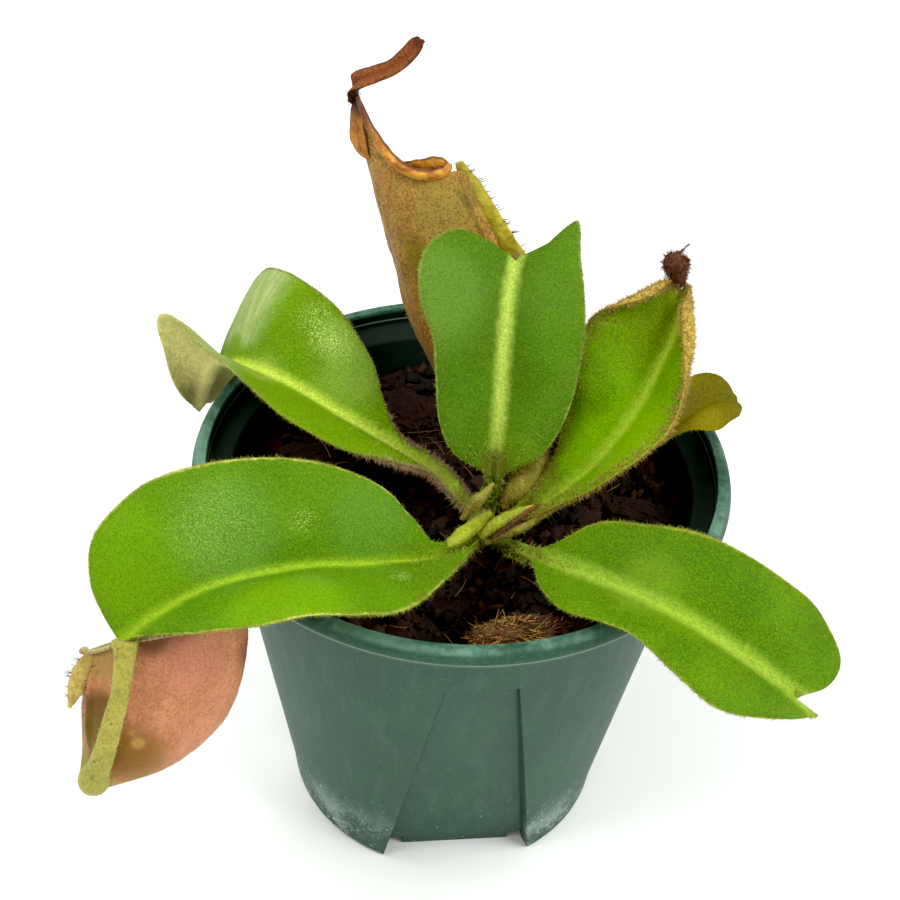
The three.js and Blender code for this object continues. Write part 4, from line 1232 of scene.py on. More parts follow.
lid_centre = piece("fine_lid_centre", mesh, lid_dry, ["lid_centre"])

# %% [markdown]
# ## The pot
#
# The pot is an injection-moulded shell with a rolled rim, three recessed panels and drain slots. A spin
# makes the outside and the inside as two solids, and Boolean modifiers cut them with tapered blocks. The
# blocks for the inside are larger by the wall, so the shell keeps its thickness behind each panel.

# %% Pot profile
RIM_TOP = 85.6
FOOT_RADIUS, FOOT_HEIGHT = 33.3, 6
WALL_TOP_RADIUS, WALL_TOP_HEIGHT = 45.2, 80
WALL = 1.2
LEDGE_RADIUS = 48.3
POT_STEPS = 240
CORNER_STEPS = 5
PANELS = 3


def wall_radius(height):
    """The outside of the pot's wall."""
    share = (height - FOOT_HEIGHT) / (WALL_TOP_HEIGHT - FOOT_HEIGHT)
    return FOOT_RADIUS + (WALL_TOP_RADIUS - FOOT_RADIUS) * share


def corner(before, at, after, radius):
    """The points of a rounded corner of a profile."""
    before, at, after = (Vector(point) for point in (before, at, after))
    reach = min(radius, 0.45 * (before - at).length, 0.45 * (after - at).length)
    start = at + (before - at).normalized() * reach
    end = at + (after - at).normalized() * reach
    shares = [i / CORNER_STEPS for i in range(CORNER_STEPS + 1)]
    return [(1 - s) ** 2 * start + 2 * s * (1 - s) * at + s**2 * end for s in shares]


def rounded(points, radii):
    """A profile with each inner corner rounded by its radius."""
    profile = [points[0]]
    for i, radius in enumerate(radii, 1):
        if radius:
            profile += [tuple(point) for point in corner(points[i - 1], points[i], points[i + 1], radius)]
        else:
            profile.append(points[i])
    return [*profile, points[-1]]


WALL_RINGS = (14, 22, 30, 38, 46, 54, 61, 66.5, 68.5, 73)  # short faces shade more evenly than tall ones
outside = rounded(
    [
        (0, 0),
        (32.7, 0),
        (FOOT_RADIUS, FOOT_HEIGHT),
        *((wall_radius(height), height) for height in WALL_RINGS),
        (WALL_TOP_RADIUS, WALL_TOP_HEIGHT),
        (49.6, 80.9),
        (51, 83.2),
        (50.4, 85.0),
        (49.4, RIM_TOP),
        (48.4, 85.4),
        (0, 85.4),
    ],
    [1.2, 0, *(0 for _ in WALL_RINGS), 0.6, 0.9, 0.8, 0.8, 0.8, 0, 0],
)
inside = rounded(
    [
        (0, 1.6),
        (wall_radius(1.6) - WALL, 1.6),
        (WALL_TOP_RADIUS - WALL, 80.4),
        (48, 81.4),
        (48, 84.8),
        (48.9, 87.6),
        (0, 87.6),
    ],
    [1.5, 0.6, 0.6, 0.5, 0],
)
print("pot profile:", len(outside), "and", len(inside), "points")


# %% Blocks that cut the panels and the drains
PANEL_TURN = math.radians(7.8)
PANEL_HEIGHT = 67.5
PANEL_FOOT_HALF, PANEL_TOP_HALF = 14.2, 6.3  # half of its width at the foot and at the top
PANEL_FOOT_OUT, PANEL_TOP_OUT = 25.8, 41.6  # the distance of its face from the axis
PANEL_FLARE = 0.35  # how much wider the recess grows for each millimetre outwards
BLOCK_DEPTH = 12
DRAIN_SLOT = (3.2, 9.6, 6)
FLOOR_HOLE_RADIUS, FLOOR_HOLE_OUT = 3, 15


def panel_turn(index):
    """The direction that a panel faces, as an angle from the front."""
    return PANEL_TURN + math.radians(360 / PANELS * index)


def panel_block(index, grown):
    """A tapered block that takes a panel's recess out of the wall."""
    bm = bmesh.new()
    bmesh.ops.create_cube(bm, size=1)
    for vert in bm.verts:
        height = (PANEL_HEIGHT + grown) if vert.co.z > 0 else -2
        share = height / PANEL_HEIGHT
        out = BLOCK_DEPTH if vert.co.y < 0 else 0
        half = PANEL_FOOT_HALF + (PANEL_TOP_HALF - PANEL_FOOT_HALF) * share + grown + PANEL_FLARE * out
        distance = PANEL_FOOT_OUT + (PANEL_TOP_OUT - PANEL_FOOT_OUT) * share + out - grown
        vert.co = (math.copysign(half, vert.co.x), -distance, height)
    turned = Matrix.Rotation(panel_turn(index), 3, "Z")
    bmesh.ops.rotate(bm, verts=bm.verts, cent=(0, 0, 0), matrix=turned)
    bmesh.ops.recalc_face_normals(bm, faces=bm.faces)
    return bm


def drain_cutters(index):
    """Two slots in the lower corners of a panel, and one round hole in the floor."""
    bm = bmesh.new()
    for side in (-1, 1):
        middle = Matrix.Translation((side * (PANEL_FOOT_HALF - DRAIN_SLOT[0] / 2), -PANEL_FOOT_OUT, 0))
        bmesh.ops.create_cube(bm, size=1, matrix=middle @ Matrix.Diagonal((*DRAIN_SLOT, 1)))
    sizes = {"segments": 48, "radius1": FLOOR_HOLE_RADIUS, "radius2": FLOOR_HOLE_RADIUS, "depth": 8}
    bmesh.ops.create_cone(bm, cap_ends=True, matrix=Matrix.Translation((0, FLOOR_HOLE_OUT, 0)), **sizes)
    turned = Matrix.Rotation(panel_turn(index), 3, "Z")
    bmesh.ops.rotate(bm, verts=bm.verts, cent=(0, 0, 0), matrix=turned)
    return bm


def stored(bms):
    """Several bmeshes as one mesh."""
    return joined("blocks", [written("block", bm) for bm in bms])


def carve(mesh, cutter):
    """The mesh with the cutter taken out of it."""
    holder, tool = linked("holder", mesh), linked("tool", cutter)
    cut = holder.modifiers.new("cut", "BOOLEAN")
    cut.operation = "DIFFERENCE"
    cut.solver = "EXACT"
    cut.object = tool
    view = bpy.context.evaluated_depsgraph_get()
    made = bpy.data.meshes.new_from_object(holder.evaluated_get(view))
    for each in (holder, tool):
        bpy.data.objects.remove(each)
    return made


# %% Pot shell
def panel_blocks(grown):
    """The blocks of all the panels, as one mesh."""
    return stored([panel_block(index, grown) for index in range(PANELS)])


shell = carve(stored([lathe(outside, POT_STEPS)]), panel_blocks(0))
hollow = carve(stored([lathe(inside, POT_STEPS)]), panel_blocks(WALL))
shell = carve(shell, hollow)
shell = carve(shell, stored([drain_cutters(index) for index in range(PANELS)]))
shell.transform(Matrix.Scale(MM, 4))
facing = places(shell, "vertex_normals", "vector")
outward = unit(places(shell) * [1, 1, 0])
inward = smooth(-(facing * outward).sum(axis=1), 0.3, 0.7)
spots = places(shell) / MM
from_axis = np.hypot(spots[:, 0], spots[:, 1])
ledge = (facing[:, 2] > 0.5) & (from_axis < LEDGE_RADIUS)
beyond = from_axis - wall_radius(spots[:, 2])
give_marks(shell, {"shaded_lining": np.maximum(inward, ledge), "proud": smooth(beyond, -1.3, -0.5)})
print("pot shell:", len(shell.polygons), "faces")

# %% [markdown]
# The plastic is a matt dark green. Hard water has left a pale bloom and white specks near the foot, and the
# mould has left fine upright drag marks. The bloom follows the height, so it is mixed by Object Z and
# broken by noise.

# %% Pot finish
plastic = Finish("pot plastic", Specular_IOR_Level=0.3)
height = plastic.axis("Z")
cloud, fleck, dust = plastic.grain(14, 3), plastic.grain(1.3, 3), plastic.grain(0.45, 2)
drag = plastic.grain(2.2, 2, stretch=(1, 1, 0.08))
# The mask of the painted shade inside the pot: inward faces and the ledge, below the top of the rim.
shaded_lining = plastic.fade(plastic.mark("shaded_lining"), 0.3, 0.8) * plastic.fade(height, 0.0852, 0.0842)
open_wall = 1 - shaded_lining
colour = plastic.mix(plastic.fade(cloud, 0.35, 0.7), tint(28, 66, 46), tint(38, 76, 56))
colour = plastic.touch(colour, 0.2, drag, 0.45, 0.75, tint(76, 104, 88))
# Painted shade: the inside of the pot is painted a near-black green.
colour = plastic.mix(0.95 * shaded_lining, colour, tint(6, 20, 11))
colour = plastic.touch(colour, 0.22 * open_wall, dust, 0.5, 0.75, tint(92, 122, 104))
colour = plastic.touch(colour, 0.22 * open_wall, dust, 0.5, 0.25, tint(16, 42, 30))
# Painted highlight: the top of the rim is lightened in broken patches, for the light that catches it.
crest_highlight = open_wall * plastic.fade(height, 0.0845, 0.0853)
colour = plastic.touch(colour, 0.5 * crest_highlight, cloud + 0.4 * fleck, 0.5, 0.9, tint(120, 164, 140))
print("plastic, lining and crest")

# %% [markdown]
# The step round each panel is too low to cast much of a shadow, so a thin dark line of painted shadow is
# drawn where its edges run. A point's distance from an edge is worked out from its coordinates, turned to
# face the panel.

# %% Painted shadow lines round the panels
painted_shadow_line = 0 * height
east, north, rise = (plastic.axis(letter) * (1 / MM) for letter in "XYZ")
lean = (PANEL_FOOT_HALF - PANEL_TOP_HALF + PANEL_FLARE * (PANEL_TOP_OUT - PANEL_FOOT_OUT)) / PANEL_HEIGHT
for index in range(PANELS):
    turn = panel_turn(index)
    x = math.cos(turn) * east + math.sin(turn) * north
    y = math.cos(turn) * north - math.sin(turn) * east
    flared = plastic.math("ABSOLUTE", x) + PANEL_FLARE * (y + PANEL_FOOT_OUT)
    past_edge = plastic.math("MAXIMUM", flared + lean * rise - PANEL_FOOT_HALF, rise - PANEL_HEIGHT)
    line = plastic.fade(plastic.math("ABSOLUTE", past_edge + 0.15), 0.34, 0.1)
    painted_shadow_line = plastic.math("MAXIMUM", painted_shadow_line, line * plastic.fade(y, -10, -12))
colour = plastic.mix(0.55 * painted_shadow_line * open_wall * (0.5 + 0.6 * fleck), colour, tint(14, 38, 28))
print("outlines of", PANELS, "panels")

# %% Bloom and specks
BLOOM_SPOTS = ((-13.6, -32.1, 13.9), (-26, -25, 8), (22.4, -25.8, 10.8))
RIM_SEAM = 82.9
proud = plastic.mark("proud")
settled = 0 * height
for point in BLOOM_SPOTS:
    settled = plastic.math("MAXIMUM", settled, plastic.near(point, 13))
crusted = plastic.fade(cloud + 0.5 * fleck + 0.3 * dust + 0.2 * settled, 0.88, 1.2)
bloom = plastic.fade(height, 0.02, 0.0) * proud * crusted
colour = plastic.mix(0.75 * bloom, colour, tint(176, 190, 180))
low = 0.8 * plastic.fade(height, 0.026, 0.0)
colour = plastic.touch(colour, low, plastic.grain(0.9, 1) + 0.06 * proud, 0.74, 0.8, tint(214, 220, 212))
from_seam = plastic.math("ABSOLUTE", height - RIM_SEAM * MM)
colour = plastic.touch(colour, 0.6, from_seam, 0.00022, 0.00008, tint(130, 160, 140))
roughness = 0.42 + 0.2 * cloud + 0.25 * bloom + 0.3 * shaded_lining
relief = fleck * 0.4 + drag + 0.5 * plastic.grain(0.4, 2)
piece("fine_pot", shell, plastic.paint(colour, roughness, relief, 0.05), ["pot"], crease=32)

# %% [markdown]
# ## The potting mix
#
# The mix is dark bark, peat and coconut fibre. A displaced disc alone looks like mud, so it only makes the
# ground. Fifteen hundred crumbs lie on it, and thin fibres run between them. The crumbs are one small block
# repeated by an Array modifier, and each copy's corners are then moved to a place and a shape of its own.

# %% Bed
MIX_HEIGHT = 74
CRUST_FOOT = 69.3
CHIPS = {
    "husk_chip_front": ([12.6, -35.6, 74.6], [9.4, 4, 3], 12),
    "bark_chip_back": ([-12.5, 24.5, 74.4], [7.5, 6, 3], -30),
    "bark_chip_left": ([-31, 9, 74], [6.5, 4.5, 2.4], 25),
    "bark_chip_right": ([34.5, -1.5, 74], [7, 3.6, 2.2], -18),
}


def ground(x, y):
    """The height of the bed at each place."""
    swell = 1.1 * (np.sin(0.31 * x + 0.9) * np.cos(0.27 * y) + 0.5 * np.sin(0.6 * y - 0.4 * x))
    spots = np.stack([x, y, 0 * x], axis=1)
    lumps = 1.1 * ripple(spots, 4.5, 3) + 0.7 * ripple(spots, 1.7, 4)
    return MIX_HEIGHT - 0.3 + swell + lumps


def bed_place(disc_places):
    """Moves the top of a disc onto the ground, and the rest of it to the crust's foot."""
    x, y, z = disc_places.T
    top = z > 1
    there = np.stack([x, y, np.where(top, ground(x, y), CRUST_FOOT)], axis=1)
    return there, {"tone": 0.5 + 0 * x}


def bed_radius(height):
    """The mix stays a little clear of the wall."""
    return wall_radius(height) - WALL - 0.4


CRUST_RINGS = 80
crust_radius = bed_radius(MIX_HEIGHT)
rings = [(crust_radius * i / CRUST_RINGS, 2) for i in range(CRUST_RINGS + 1)]
crust = shaped("crust", lathe([*rings, (crust_radius - 0.6, 0), (0, 0)], 200), bed_place)
core = lathe([(0, 2), (bed_radius(2), 2), (bed_radius(70), 70), (0, 70)], 120)
core = carve(stored([core]), panel_blocks(WALL + 0.5))
core.transform(Matrix.Scale(MM, 4))


# %% Mix finish
def earth_finish(name, shades, over=()):
    """Crumbly earth in three shades, dark, light and warm, with a tone of its own for each crumb."""
    dark, light, warm = (tint(*shade) for shade in shades)
    earth = Finish(name, Specular_IOR_Level=0.25)
    fine, lump = earth.grain(0.5, 4), earth.grain(2.4, 3)
    colour = earth.mix(earth.fade(earth.mark("tone") + 0.4 * lump, 0.5, 1.15), dark, light)
    colour = earth.touch(colour, 0.7, earth.grain(6, 2), 0.52, 0.7, warm)
    colour = earth.touch(colour, 0.5, fine, 0.5, 0.3, lighter(dark, 0.4))
    colour = earth.veiled(colour, over, full=0.6)
    return earth.paint(colour, 0.9 - 0.2 * fine, fine + lump, 0.35)


# The dark shade of the mix is partly its own colour and partly painted shade, for the bed lies in shade under
# the rim and the leaves.
mix_finish = earth_finish("potting mix", [(18, 12, 9), (56, 36, 23), (58, 28, 17)])
piece("fine_potting_mix", joined("bed", [crust, core]), mix_finish, ["potting_mix"])


# %% Repeated shapes
def repeated(bm, count):
    """A mesh that holds one shape many times, and the shape's corners once for each copy."""
    mesh = written("shape", bm)
    corners = places(mesh)
    holder = linked("shape", mesh)
    array = holder.modifiers.new("copies", "ARRAY")
    array.count = count
    array.use_relative_offset = False
    array.use_constant_offset = True
    array.constant_offset_displace = (3, 0, 0)
    view = bpy.context.evaluated_depsgraph_get()
    made = bpy.data.meshes.new_from_object(holder.evaluated_get(view))
    bpy.data.objects.remove(holder)
    return made, np.broadcast_to(corners, (count, len(corners), 3))


def write_copies(mesh, there, marks):
    """Writes the places of all the copies' corners, in millimetres, and a mark for each copy."""
    mesh.vertices.foreach_set("co", (there * MM).ravel())
    give_marks(mesh, {name: np.repeat(values, there.shape[1]) for name, values in marks.items()})
    mesh.update()
    return mesh


def random_turns(count, rng):
    """Random rotations, as matrices."""
    first = unit(rng.normal(size=(count, 3)))
    second = unit(np.cross(first, rng.normal(size=(count, 3))))
    return np.stack([first, second, np.cross(first, second)], axis=1)


# %% Crumbs
def crumb():
    """A cube rounded towards a ball."""
    bm = bmesh.new()
    bmesh.ops.create_cube(bm, size=2)
    bmesh.ops.subdivide_edges(bm, edges=bm.edges[:], cuts=1, use_grid_fill=True)
    for vert in bm.verts:
        vert.co = vert.co.normalized() * (0.6 * vert.co.length + 0.4)
    return bm


CRUMBS = 1500
rng = np.random.default_rng(11)
mesh, corners = repeated(crumb(), CRUMBS)
reach = (crust_radius - 1.5) * np.sqrt(rng.random(CRUMBS))
turn = 2 * np.pi * rng.random(CRUMBS)
x, y = reach * np.cos(turn), reach * np.sin(turn)
size = 0.45 + 1.5 * rng.random(CRUMBS) ** 3
shape = size[:, None] * rng.uniform([0.7, 0.5, 0.3], [1.5, 1.0, 0.7], (CRUMBS, 3))
bumps = rng.uniform(0.75, 1.2, corners.shape[:2])[:, :, None]
there = np.einsum("nki,nij->nkj", corners * shape[:, None, :] * bumps, random_turns(CRUMBS, rng))
there = there + np.stack([x, y, ground(x, y) + 0.25 * size], axis=1)[:, None, :]
mesh = write_copies(mesh, there, {"tone": rng.random(CRUMBS)})
piece("mix_crumbs", mesh, mix_finish)


# %% [markdown]
# A fibre is a thin rod bent along a short random curve. All the fibres of one kind are one mesh.


# %% Fibres
def bent(corners, starts, aims, across, bends, lengths, radii):
    """Where the corners of many thin rods go, when each is laid along its aim and bent."""
    u = corners[:, :, 2:3]
    aside = unit(np.cross(aims, across))
    up = np.cross(aside, aims)
    middle = starts[:, None, :] + (aims[:, None, :] * u + bends[:, None, :] * u**2) * lengths[:, None, None]
    return middle + (up[:, None, :] * corners[:, :, 0:1] + aside[:, None, :] * corners[:, :, 1:2]) * radii


def fibres(count, steps, starts, aims, lengths, radius, bends):
    """Thin curved rods: where each starts, its direction, its length, and how it bends."""
    mesh, corners = repeated(rod(4, steps, fans=False), count)
    radii = radius[:, None, None] * (1 - 0.6 * corners[:, :, 2:3] ** 2)
    return mesh, bent(corners, starts, unit(aims), bends + 1e-6, bends, lengths, radii)


def kept_in(there):
    """Moves points towards the axis wherever they would reach into the pot's wall."""
    far = np.linalg.norm(there[:, :, :2], axis=2)
    most = wall_radius(there[:, :, 2]) - WALL - 0.5
    return there * np.dstack([np.minimum(most / far, 1)] * 2 + [np.ones_like(far)])


def fibre_finish(name, light, dark):
    """Dry plant fibre, paler or darker from one fibre to the next."""
    fibre = Finish(name, Specular_IOR_Level=0.3)
    fine = fibre.grain(0.4, 2)
    colour = fibre.mix(fibre.fade(fibre.mark("tone"), 0.0, 1.0), dark, light)
    colour = fibre.touch(colour, 0.4, fine, 0.5, 0.7, lighter(dark, 0.6))
    return fibre.paint(colour, 0.75 - 0.2 * fine, fine, 0.05)


coir_finish = fibre_finish("coir", tint(142, 108, 72), tint(44, 22, 14))
COIR = 300
NEAR_WALL = 45  # fibres that start as far out as this point inwards
rng = np.random.default_rng(12)
reach = (crust_radius - 3) * np.sqrt(rng.random(COIR))
turn = 2 * np.pi * rng.random(COIR)
x, y = reach * np.cos(turn), reach * np.sin(turn)
starts = np.stack([x, y, ground(x, y) + rng.uniform(0, 1.2, COIR)], axis=1)
headings = 2 * np.pi * rng.random(COIR)
aims = np.stack([np.cos(headings), np.sin(headings), rng.uniform(-0.05, 0.25, COIR)], axis=1)
inward = -starts * [1, 1, 0] / NEAR_WALL
aims = aims + 1.2 * inward * (reach / NEAR_WALL)[:, None] ** 2
bends = rng.normal(0, 0.3, (COIR, 3)) * [1, 1, 0.2] - np.array([0, 0, 0.14])
lengths = rng.uniform(3, 13, COIR)
mesh, there = fibres(COIR, 7, starts, aims, lengths, rng.uniform(0.05, 0.11, COIR), bends)
there = kept_in(there)
mesh = write_copies(mesh, there, {"tone": rng.random(COIR) ** 2})
piece("mix_fibres", mesh, coir_finish)


# %% [markdown]
# The chips are lumps broken along their grain. Each starts as an icosphere, which has no poles to pinch,
# and is then squashed, dented and scored along its length. The husk chip also gets its own fibres.


# %% Chips
def chip_place(at, half, turn, seed, scores):
    """The function that moves a ball's vertices onto a chip: its middle, half sizes and direction."""

    def place(ball_places):
        x, y, z = ball_places.T
        dents = 1 + 0.18 * ripple(ball_places, 0.5, seed) + 0.1 * ripple(ball_places, 0.2, seed + 1)
        stretched = ball_places * [0.35, 1.6, 1.6]
        dents = dents + scores * ripple(stretched, 0.22, seed + 2)
        angle = math.radians(turn)
        along, over, up = x * half[0] * dents, y * half[1] * dents, z * half[2] * dents
        east = at[0] + along * math.cos(angle) - over * math.sin(angle)
        north = at[1] + along * math.sin(angle) + over * math.cos(angle)
        return np.stack([east, north, at[2] + up], axis=1), {"tone": 0.5 * dents}

    return place


def ball(subdivisions):
    """A ball of triangles, all nearly the same size."""
    bm = bmesh.new()
    bmesh.ops.create_icosphere(bm, subdivisions=subdivisions, radius=1)
    return bm


RED_END = [((21, -33.5, 76), 8, 0.85, (56, 24, 18))]
husk_finish = earth_finish("coconut husk", [(40, 24, 14), (150, 108, 66), (96, 52, 28)], RED_END)
bark_finish = earth_finish("bark", [(26, 15, 10), (62, 36, 22), (58, 27, 16)])
for index, (name, (at, half, turn)) in enumerate(CHIPS.items()):
    husk = name.startswith("husk")
    mesh = shaped(name, ball(6), chip_place(at, half, turn, 20 + index, 0.16 if husk else 0.1))
    finish, slot = (husk_finish, "coconut_husk") if husk else (bark_finish, "bark")
    piece("fine_" + name, mesh, finish, [name])

# %% Husk fibres
HUSK = 900
rng = np.random.default_rng(13)
at, half, turn = CHIPS["husk_chip_front"]
angle = math.radians(turn)
lengthwise = np.array([math.cos(angle), math.sin(angle), 0])
crosswise = np.array([-math.sin(angle), math.cos(angle), 0])
balls = unit(rng.normal(size=(HUSK, 3)))
balls[:, 2] = np.abs(balls[:, 2])
starts = (
    np.array(at)
    + np.outer((balls[:, 0] - 0.2) * half[0] * 0.82, lengthwise)
    + np.outer(balls[:, 1] * half[1] * 0.95, crosswise)
    + np.outer(balls[:, 2] * half[2] * 0.98, [0, 0, 1])
)
aims = np.outer(rng.choice([-1, 1], HUSK), lengthwise) + rng.normal(0, 0.5, (HUSK, 3)) + 0.3 * balls
bends = rng.normal(0, 0.2, (HUSK, 3)) - np.array([0, 0, 0.12])
lengths = rng.uniform(0.7, 2.4, HUSK)
mesh, there = fibres(HUSK, 3, starts, aims, lengths, rng.uniform(0.04, 0.12, HUSK), bends)
there = kept_in(there)
mesh = write_copies(mesh, there, {"tone": rng.random(HUSK)})
husk_fibre = fibre_finish("husk fibre", tint(226, 178, 96), tint(58, 30, 14))
piece("husk_fibres", mesh, husk_fibre)

# %% [markdown]
# ## Hairs
#
# The whole plant is downy: short hairs stand on the blades, a denser fringe on the margins, long ones on
# the stalks, and stiff bristles on the pitchers' wings. Blender's hair system is lost on export, so each
# hair is a real spike with three sides. Their places are drawn at random from the faces of the finished
# pieces, with more where the marks say that the margin or the rib is near.


# %% Hair helpers
def scatter(made, count, weigh, rng):
    """Random places on a piece and the normals there, with more where weigh says so."""
    mesh = made.data
    mesh.calc_loop_triangles()
    corners = np.empty(len(mesh.loop_triangles) * 3, np.int32)
    mesh.loop_triangles.foreach_get("vertices", corners)
    corners = corners.reshape(-1, 3)
    spots = places(mesh) / MM
    normals = places(mesh, "vertex_normals", "vector")
    marks = {}
    for layer in mesh.attributes:
        if layer.data_type == "FLOAT" and layer.domain == "POINT":
            values = np.empty(len(mesh.vertices))
            layer.data.foreach_get("value", values)
            marks[layer.name] = values[corners].mean(axis=1)
    a, b, c = (spots[corners[:, k]] for k in range(3))
    area = np.linalg.norm(np.cross(b - a, c - a), axis=1) / 2
    chance = area * weigh(marks, spots[corners].mean(axis=1))
    chosen = rng.choice(len(corners), count, p=chance / chance.sum())
    shares = rng.dirichlet([1, 1, 1], count)
    spot = np.einsum("nk,nkj->nj", shares, spots[corners[chosen]])
    normal = unit(np.einsum("nk,nkj->nj", shares, normals[corners[chosen]]))
    return spot, normal


def hair_set(spot, aim, lengths, radius, steps, rng, bend=0.2):
    """A mesh of spikes that stand at the given places."""
    count = len(spot)
    mesh, corners = repeated(spike(3, steps), count)
    across = rng.normal(size=(count, 3))
    curl = rng.normal(0, bend, (count, 3)) - np.array([0, 0, 0.5 * bend])
    radii = radius * (1 - 0.5 * corners[:, :, 2:3])
    there = bent(corners, spot, unit(aim), across, curl, lengths, radii)
    return write_copies(mesh, there, {"tone": rng.random(count)})


def hairs_on(made, count, weigh, spreading, low, high, radius, steps, rng, bend=0.2):
    """Hairs of one kind on a piece, where weigh wants them. spreading makes their directions differ."""
    spot, normal = scatter(made, count, weigh, rng)
    aim = normal + rng.normal(0, spreading, spot.shape)
    return hair_set(spot, aim, rng.uniform(low, high, count), radius, steps, rng, bend)


def hair_finish(name, light, dark):
    """Plain hairs: pale or dark from one to the next."""
    hair = Finish(name, Specular_IOR_Level=0.25)
    colour = hair.mix(hair.mark("tone"), dark, light)
    return hair.paint(colour, 0.5 + 0.2 * hair.grain(0.5, 1))


# %% Leaf hairs
pale_hair = hair_finish("hair pale", tint(184, 188, 84), tint(116, 138, 26))
gold_hair = hair_finish("hair gold", tint(206, 176, 98), tint(132, 98, 40))
brown_hair = hair_finish("hair brown", tint(136, 78, 44), tint(50, 24, 14))
rosy_hair = hair_finish("hair rosy", tint(204, 170, 140), tint(136, 96, 66))
dark_hair = hair_finish("hair dark", tint(84, 52, 28), tint(34, 20, 14))


def on_margin(reach):
    """Only within a few millimetres of the margin."""

    def weigh(marks, spots):
        return np.exp(-((marks["from_edge"] / reach) ** 2)) * smooth(marks["along"], 0.05, 0.2)

    return weigh


def on_face(marks, spots):
    """Mostly on top, and more along the rib."""
    near_rib = np.exp(-((marks["from_rib"] / 1.6) ** 2))
    return (0.15 + 0.85 * marks["top"]) * (0.6 + near_rib)


def on_stalk(marks, spots):
    """Only on a leaf's stalk."""
    return 1 - smooth(marks["along"], 0.12, 0.34)


def on_all(marks, spots):
    """Everywhere alike."""
    return np.ones(len(spots))


def on_petiole_edge(marks, spots):
    """Only on the margins of a leaf's stalk."""
    return np.exp(-((marks["from_edge"] / 0.6) ** 2)) * (1 - smooth(marks["along"], 0.16, 0.3))


def on_lid_base(marks, spots):
    """Only where a lid joins its pitcher."""
    return 1 - smooth(marks["along"], 0.02, 0.14)


SMALL_LEAF = 0.45  # its share of hairs
for index, (name, made) in enumerate(leaves.items()):
    rng = np.random.default_rng(100 + index)
    share = SMALL_LEAF if name == "leaf_small_right" else 1
    gold = name == "leaf_right"
    count, reach, longest, radius = (9000, 2.2, 1.3, 0.05) if gold else (3600 * share, 0.5, 0.75, 0.035)
    fringe = hairs_on(made, int(count), on_margin(reach), 0.45, 0.25, longest, radius, 1, rng)
    down = hairs_on(made, int(5200 * share), on_face, 0.6, 0.12, 0.32, 0.022, 1, rng)
    stalk = hairs_on(made, int(900 * share), on_stalk, 0.5, 0.5, 1.3, 0.04, 2, rng, 0.35)
    piece("fringe_" + name, fringe, gold_hair if gold else pale_hair)
    piece("hairs_" + name, joined("hairs", [down, stalk]), pale_hair)


# %% Hairs of the strands and pitchers
def furred(name, made, count, low, high, radius, finish, slot, seed, weigh=on_all, spreading=0.5, bend=0.3):
    """A piece of hairs of one kind on another piece."""
    rng = np.random.default_rng(seed)
    mesh = hairs_on(made, count, weigh, spreading, low, high, radius, 2, rng, bend)
    piece("hairs_" + name, mesh, finish)


petiole = leaves["leaf_back_left"]
tip = strands["dried_tip_right"]
furred("petiole", petiole, 2200, 0.5, 1.3, 0.045, rosy_hair, "leaf_green", 205, on_petiole_edge)
furred("lid_base", lid_centre, 60, 0.5, 1.2, 0.07, dark_hair, "dried_tissue", 206, on_lid_base)
furred("tendril_front_left", strands["tendril_front_left"], 700, 0.2, 0.6, 0.035, pale_hair, "tendril", 201)
furred("dried_tip_right", tip, 1300, 0.4, 1.3, 0.05, brown_hair, "dried_tissue", 202, spreading=0.6)
furred("young_leaf", strands["young_leaf"], 900, 0.3, 0.8, 0.04, gold_hair, "leaf_olive", 203)
for index, (name, made) in enumerate(crown_stalks.items()):
    furred(name, made, 260, 0.2, 0.6, 0.03, pale_hair, "leaf_green", 230 + index)


def on_wing(low, high):
    """Only the outer edges of a cup's wings."""

    def weigh(marks, spots):
        height, turn = marks["height"], marks["turn"] * 360
        edge = sum(np.exp(-(((turn - wing) / 0.9) ** 2)) for wing in WING_TURNS)
        return edge * (marks["inside"] < 0.5) * (height > low) * (height < high)

    return weigh


def on_free_edge(side):
    """Only one edge of a strip: side is 1 or -1."""

    def weigh(marks, spots):
        return np.exp(-(((marks["round"] - 0.5 * side) / 0.04) ** 2)) * smooth(marks["along"], 0, 0.05)

    return weigh


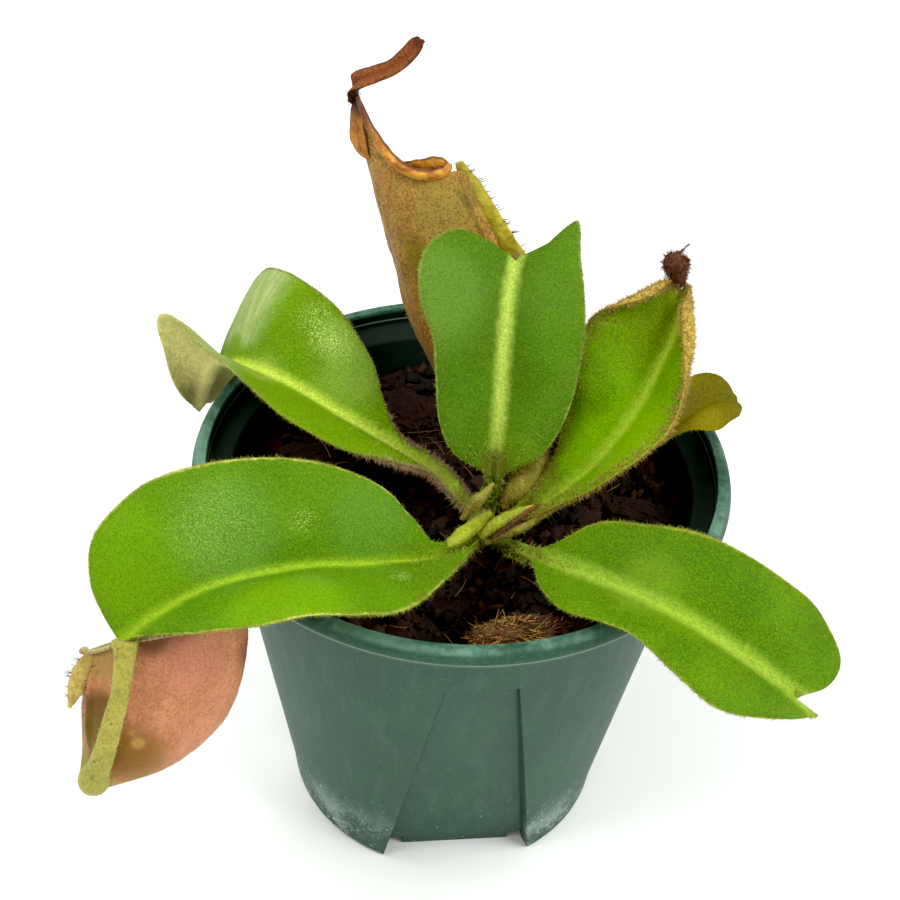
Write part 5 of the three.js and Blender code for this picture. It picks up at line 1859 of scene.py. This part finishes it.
for index, (name, made) in enumerate(pitchers.items()):
    slot = PITCHER_SLOTS[name]
    wing = on_wing(PITCHERS[name]["wing"][0] + 0.1, 0.97)
    furred(name + "_wings", made, 20, 0.8, 1.3, 0.05, dark_hair, slot, 210 + index, wing, 0.25, 0.2)
    longest = (0.45, 0.7)[index]
    furred(name, made, 3000, 0.15, longest, 0.03, gold_hair, slot, 220 + index)
EDGES = {  # which edge, how many bristles, shortest, longest, radius
    "wing_centre": (-1, 36, 1.2, 2.0, 0.1),
    "wing_front_left": (1, 16, 0.9, 1.5, 0.065),
    "lip_far": (1, 10, 0.6, 1.1, 0.08),
}
for index, (name, (side, *sizes)) in enumerate(EDGES.items()):
    slot = STRIP_SLOTS.get(name, "pitcher_withered")
    edge = on_free_edge(side)
    furred(name + "_edge", strips[name], *sizes, dark_hair, slot, 240 + index, edge, 0.2, 0.15)
    furred(name, strips[name], 500, 0.15, 0.45, 0.03, gold_hair, slot, 250 + index)

# %% [markdown]
# ## The stage
#
# The photograph has an almost white floor, one large soft light from the upper left and a weaker one from
# the right, so shadows are soft. Area lights give that, and the world adds an even glow. A plain view
# transform keeps the whites white.

# %% Floor
floor_finish = Finish("floor", Specular_IOR_Level=0.2)
bm = bmesh.new()
bmesh.ops.create_grid(bm, x_segments=1, y_segments=1, size=3)
mesh = written("floor", bm)
mesh.materials.append(floor_finish.paint(tint(246, 249, 246), 0.8))
linked("floor", mesh)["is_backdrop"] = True


# %% Light
def soft_light(name, position, size, power):
    """A square light that faces the plant."""
    lamp = bpy.data.lights.new(name, "AREA")
    lamp.size = size
    lamp.energy = power
    towards = Vector((0, 0, 0.08)) - Vector(position)
    turned = towards.to_track_quat("-Z", "Y").to_matrix().to_4x4()
    linked(name, lamp).matrix_world = Matrix.Translation(position) @ turned


soft_light("key", (-0.35, -0.15, 0.75), 0.45, 4.8)
soft_light("fill", (0.45, -0.2, 0.5), 0.35, 3.2)
world = bpy.data.worlds.new("studio")
world.use_nodes = True
glow = world.node_tree.nodes["Background"].inputs
glow["Color"].default_value = (1, 1, 1, 1)
glow["Strength"].default_value = 0.66
bpy.context.scene.world = world
view = bpy.context.scene.view_settings
view.view_transform = "Standard"
view.use_curve_mapping = True
view.curve_mapping.black_level = (0.007, 0.007, 0.007)
view.curve_mapping.white_level = (0.97, 0.97, 0.97)
view.curve_mapping.update()

# %% [markdown]
# ## Sizes
#
# The box round all the pieces that are shown, without the floor, is printed. The fine pieces must stay
# inside the box of the imported model.

# %% Box of the shown pieces
low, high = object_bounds()
print("visual box", [round(x / MM, 1) for x in (*low, *high)])
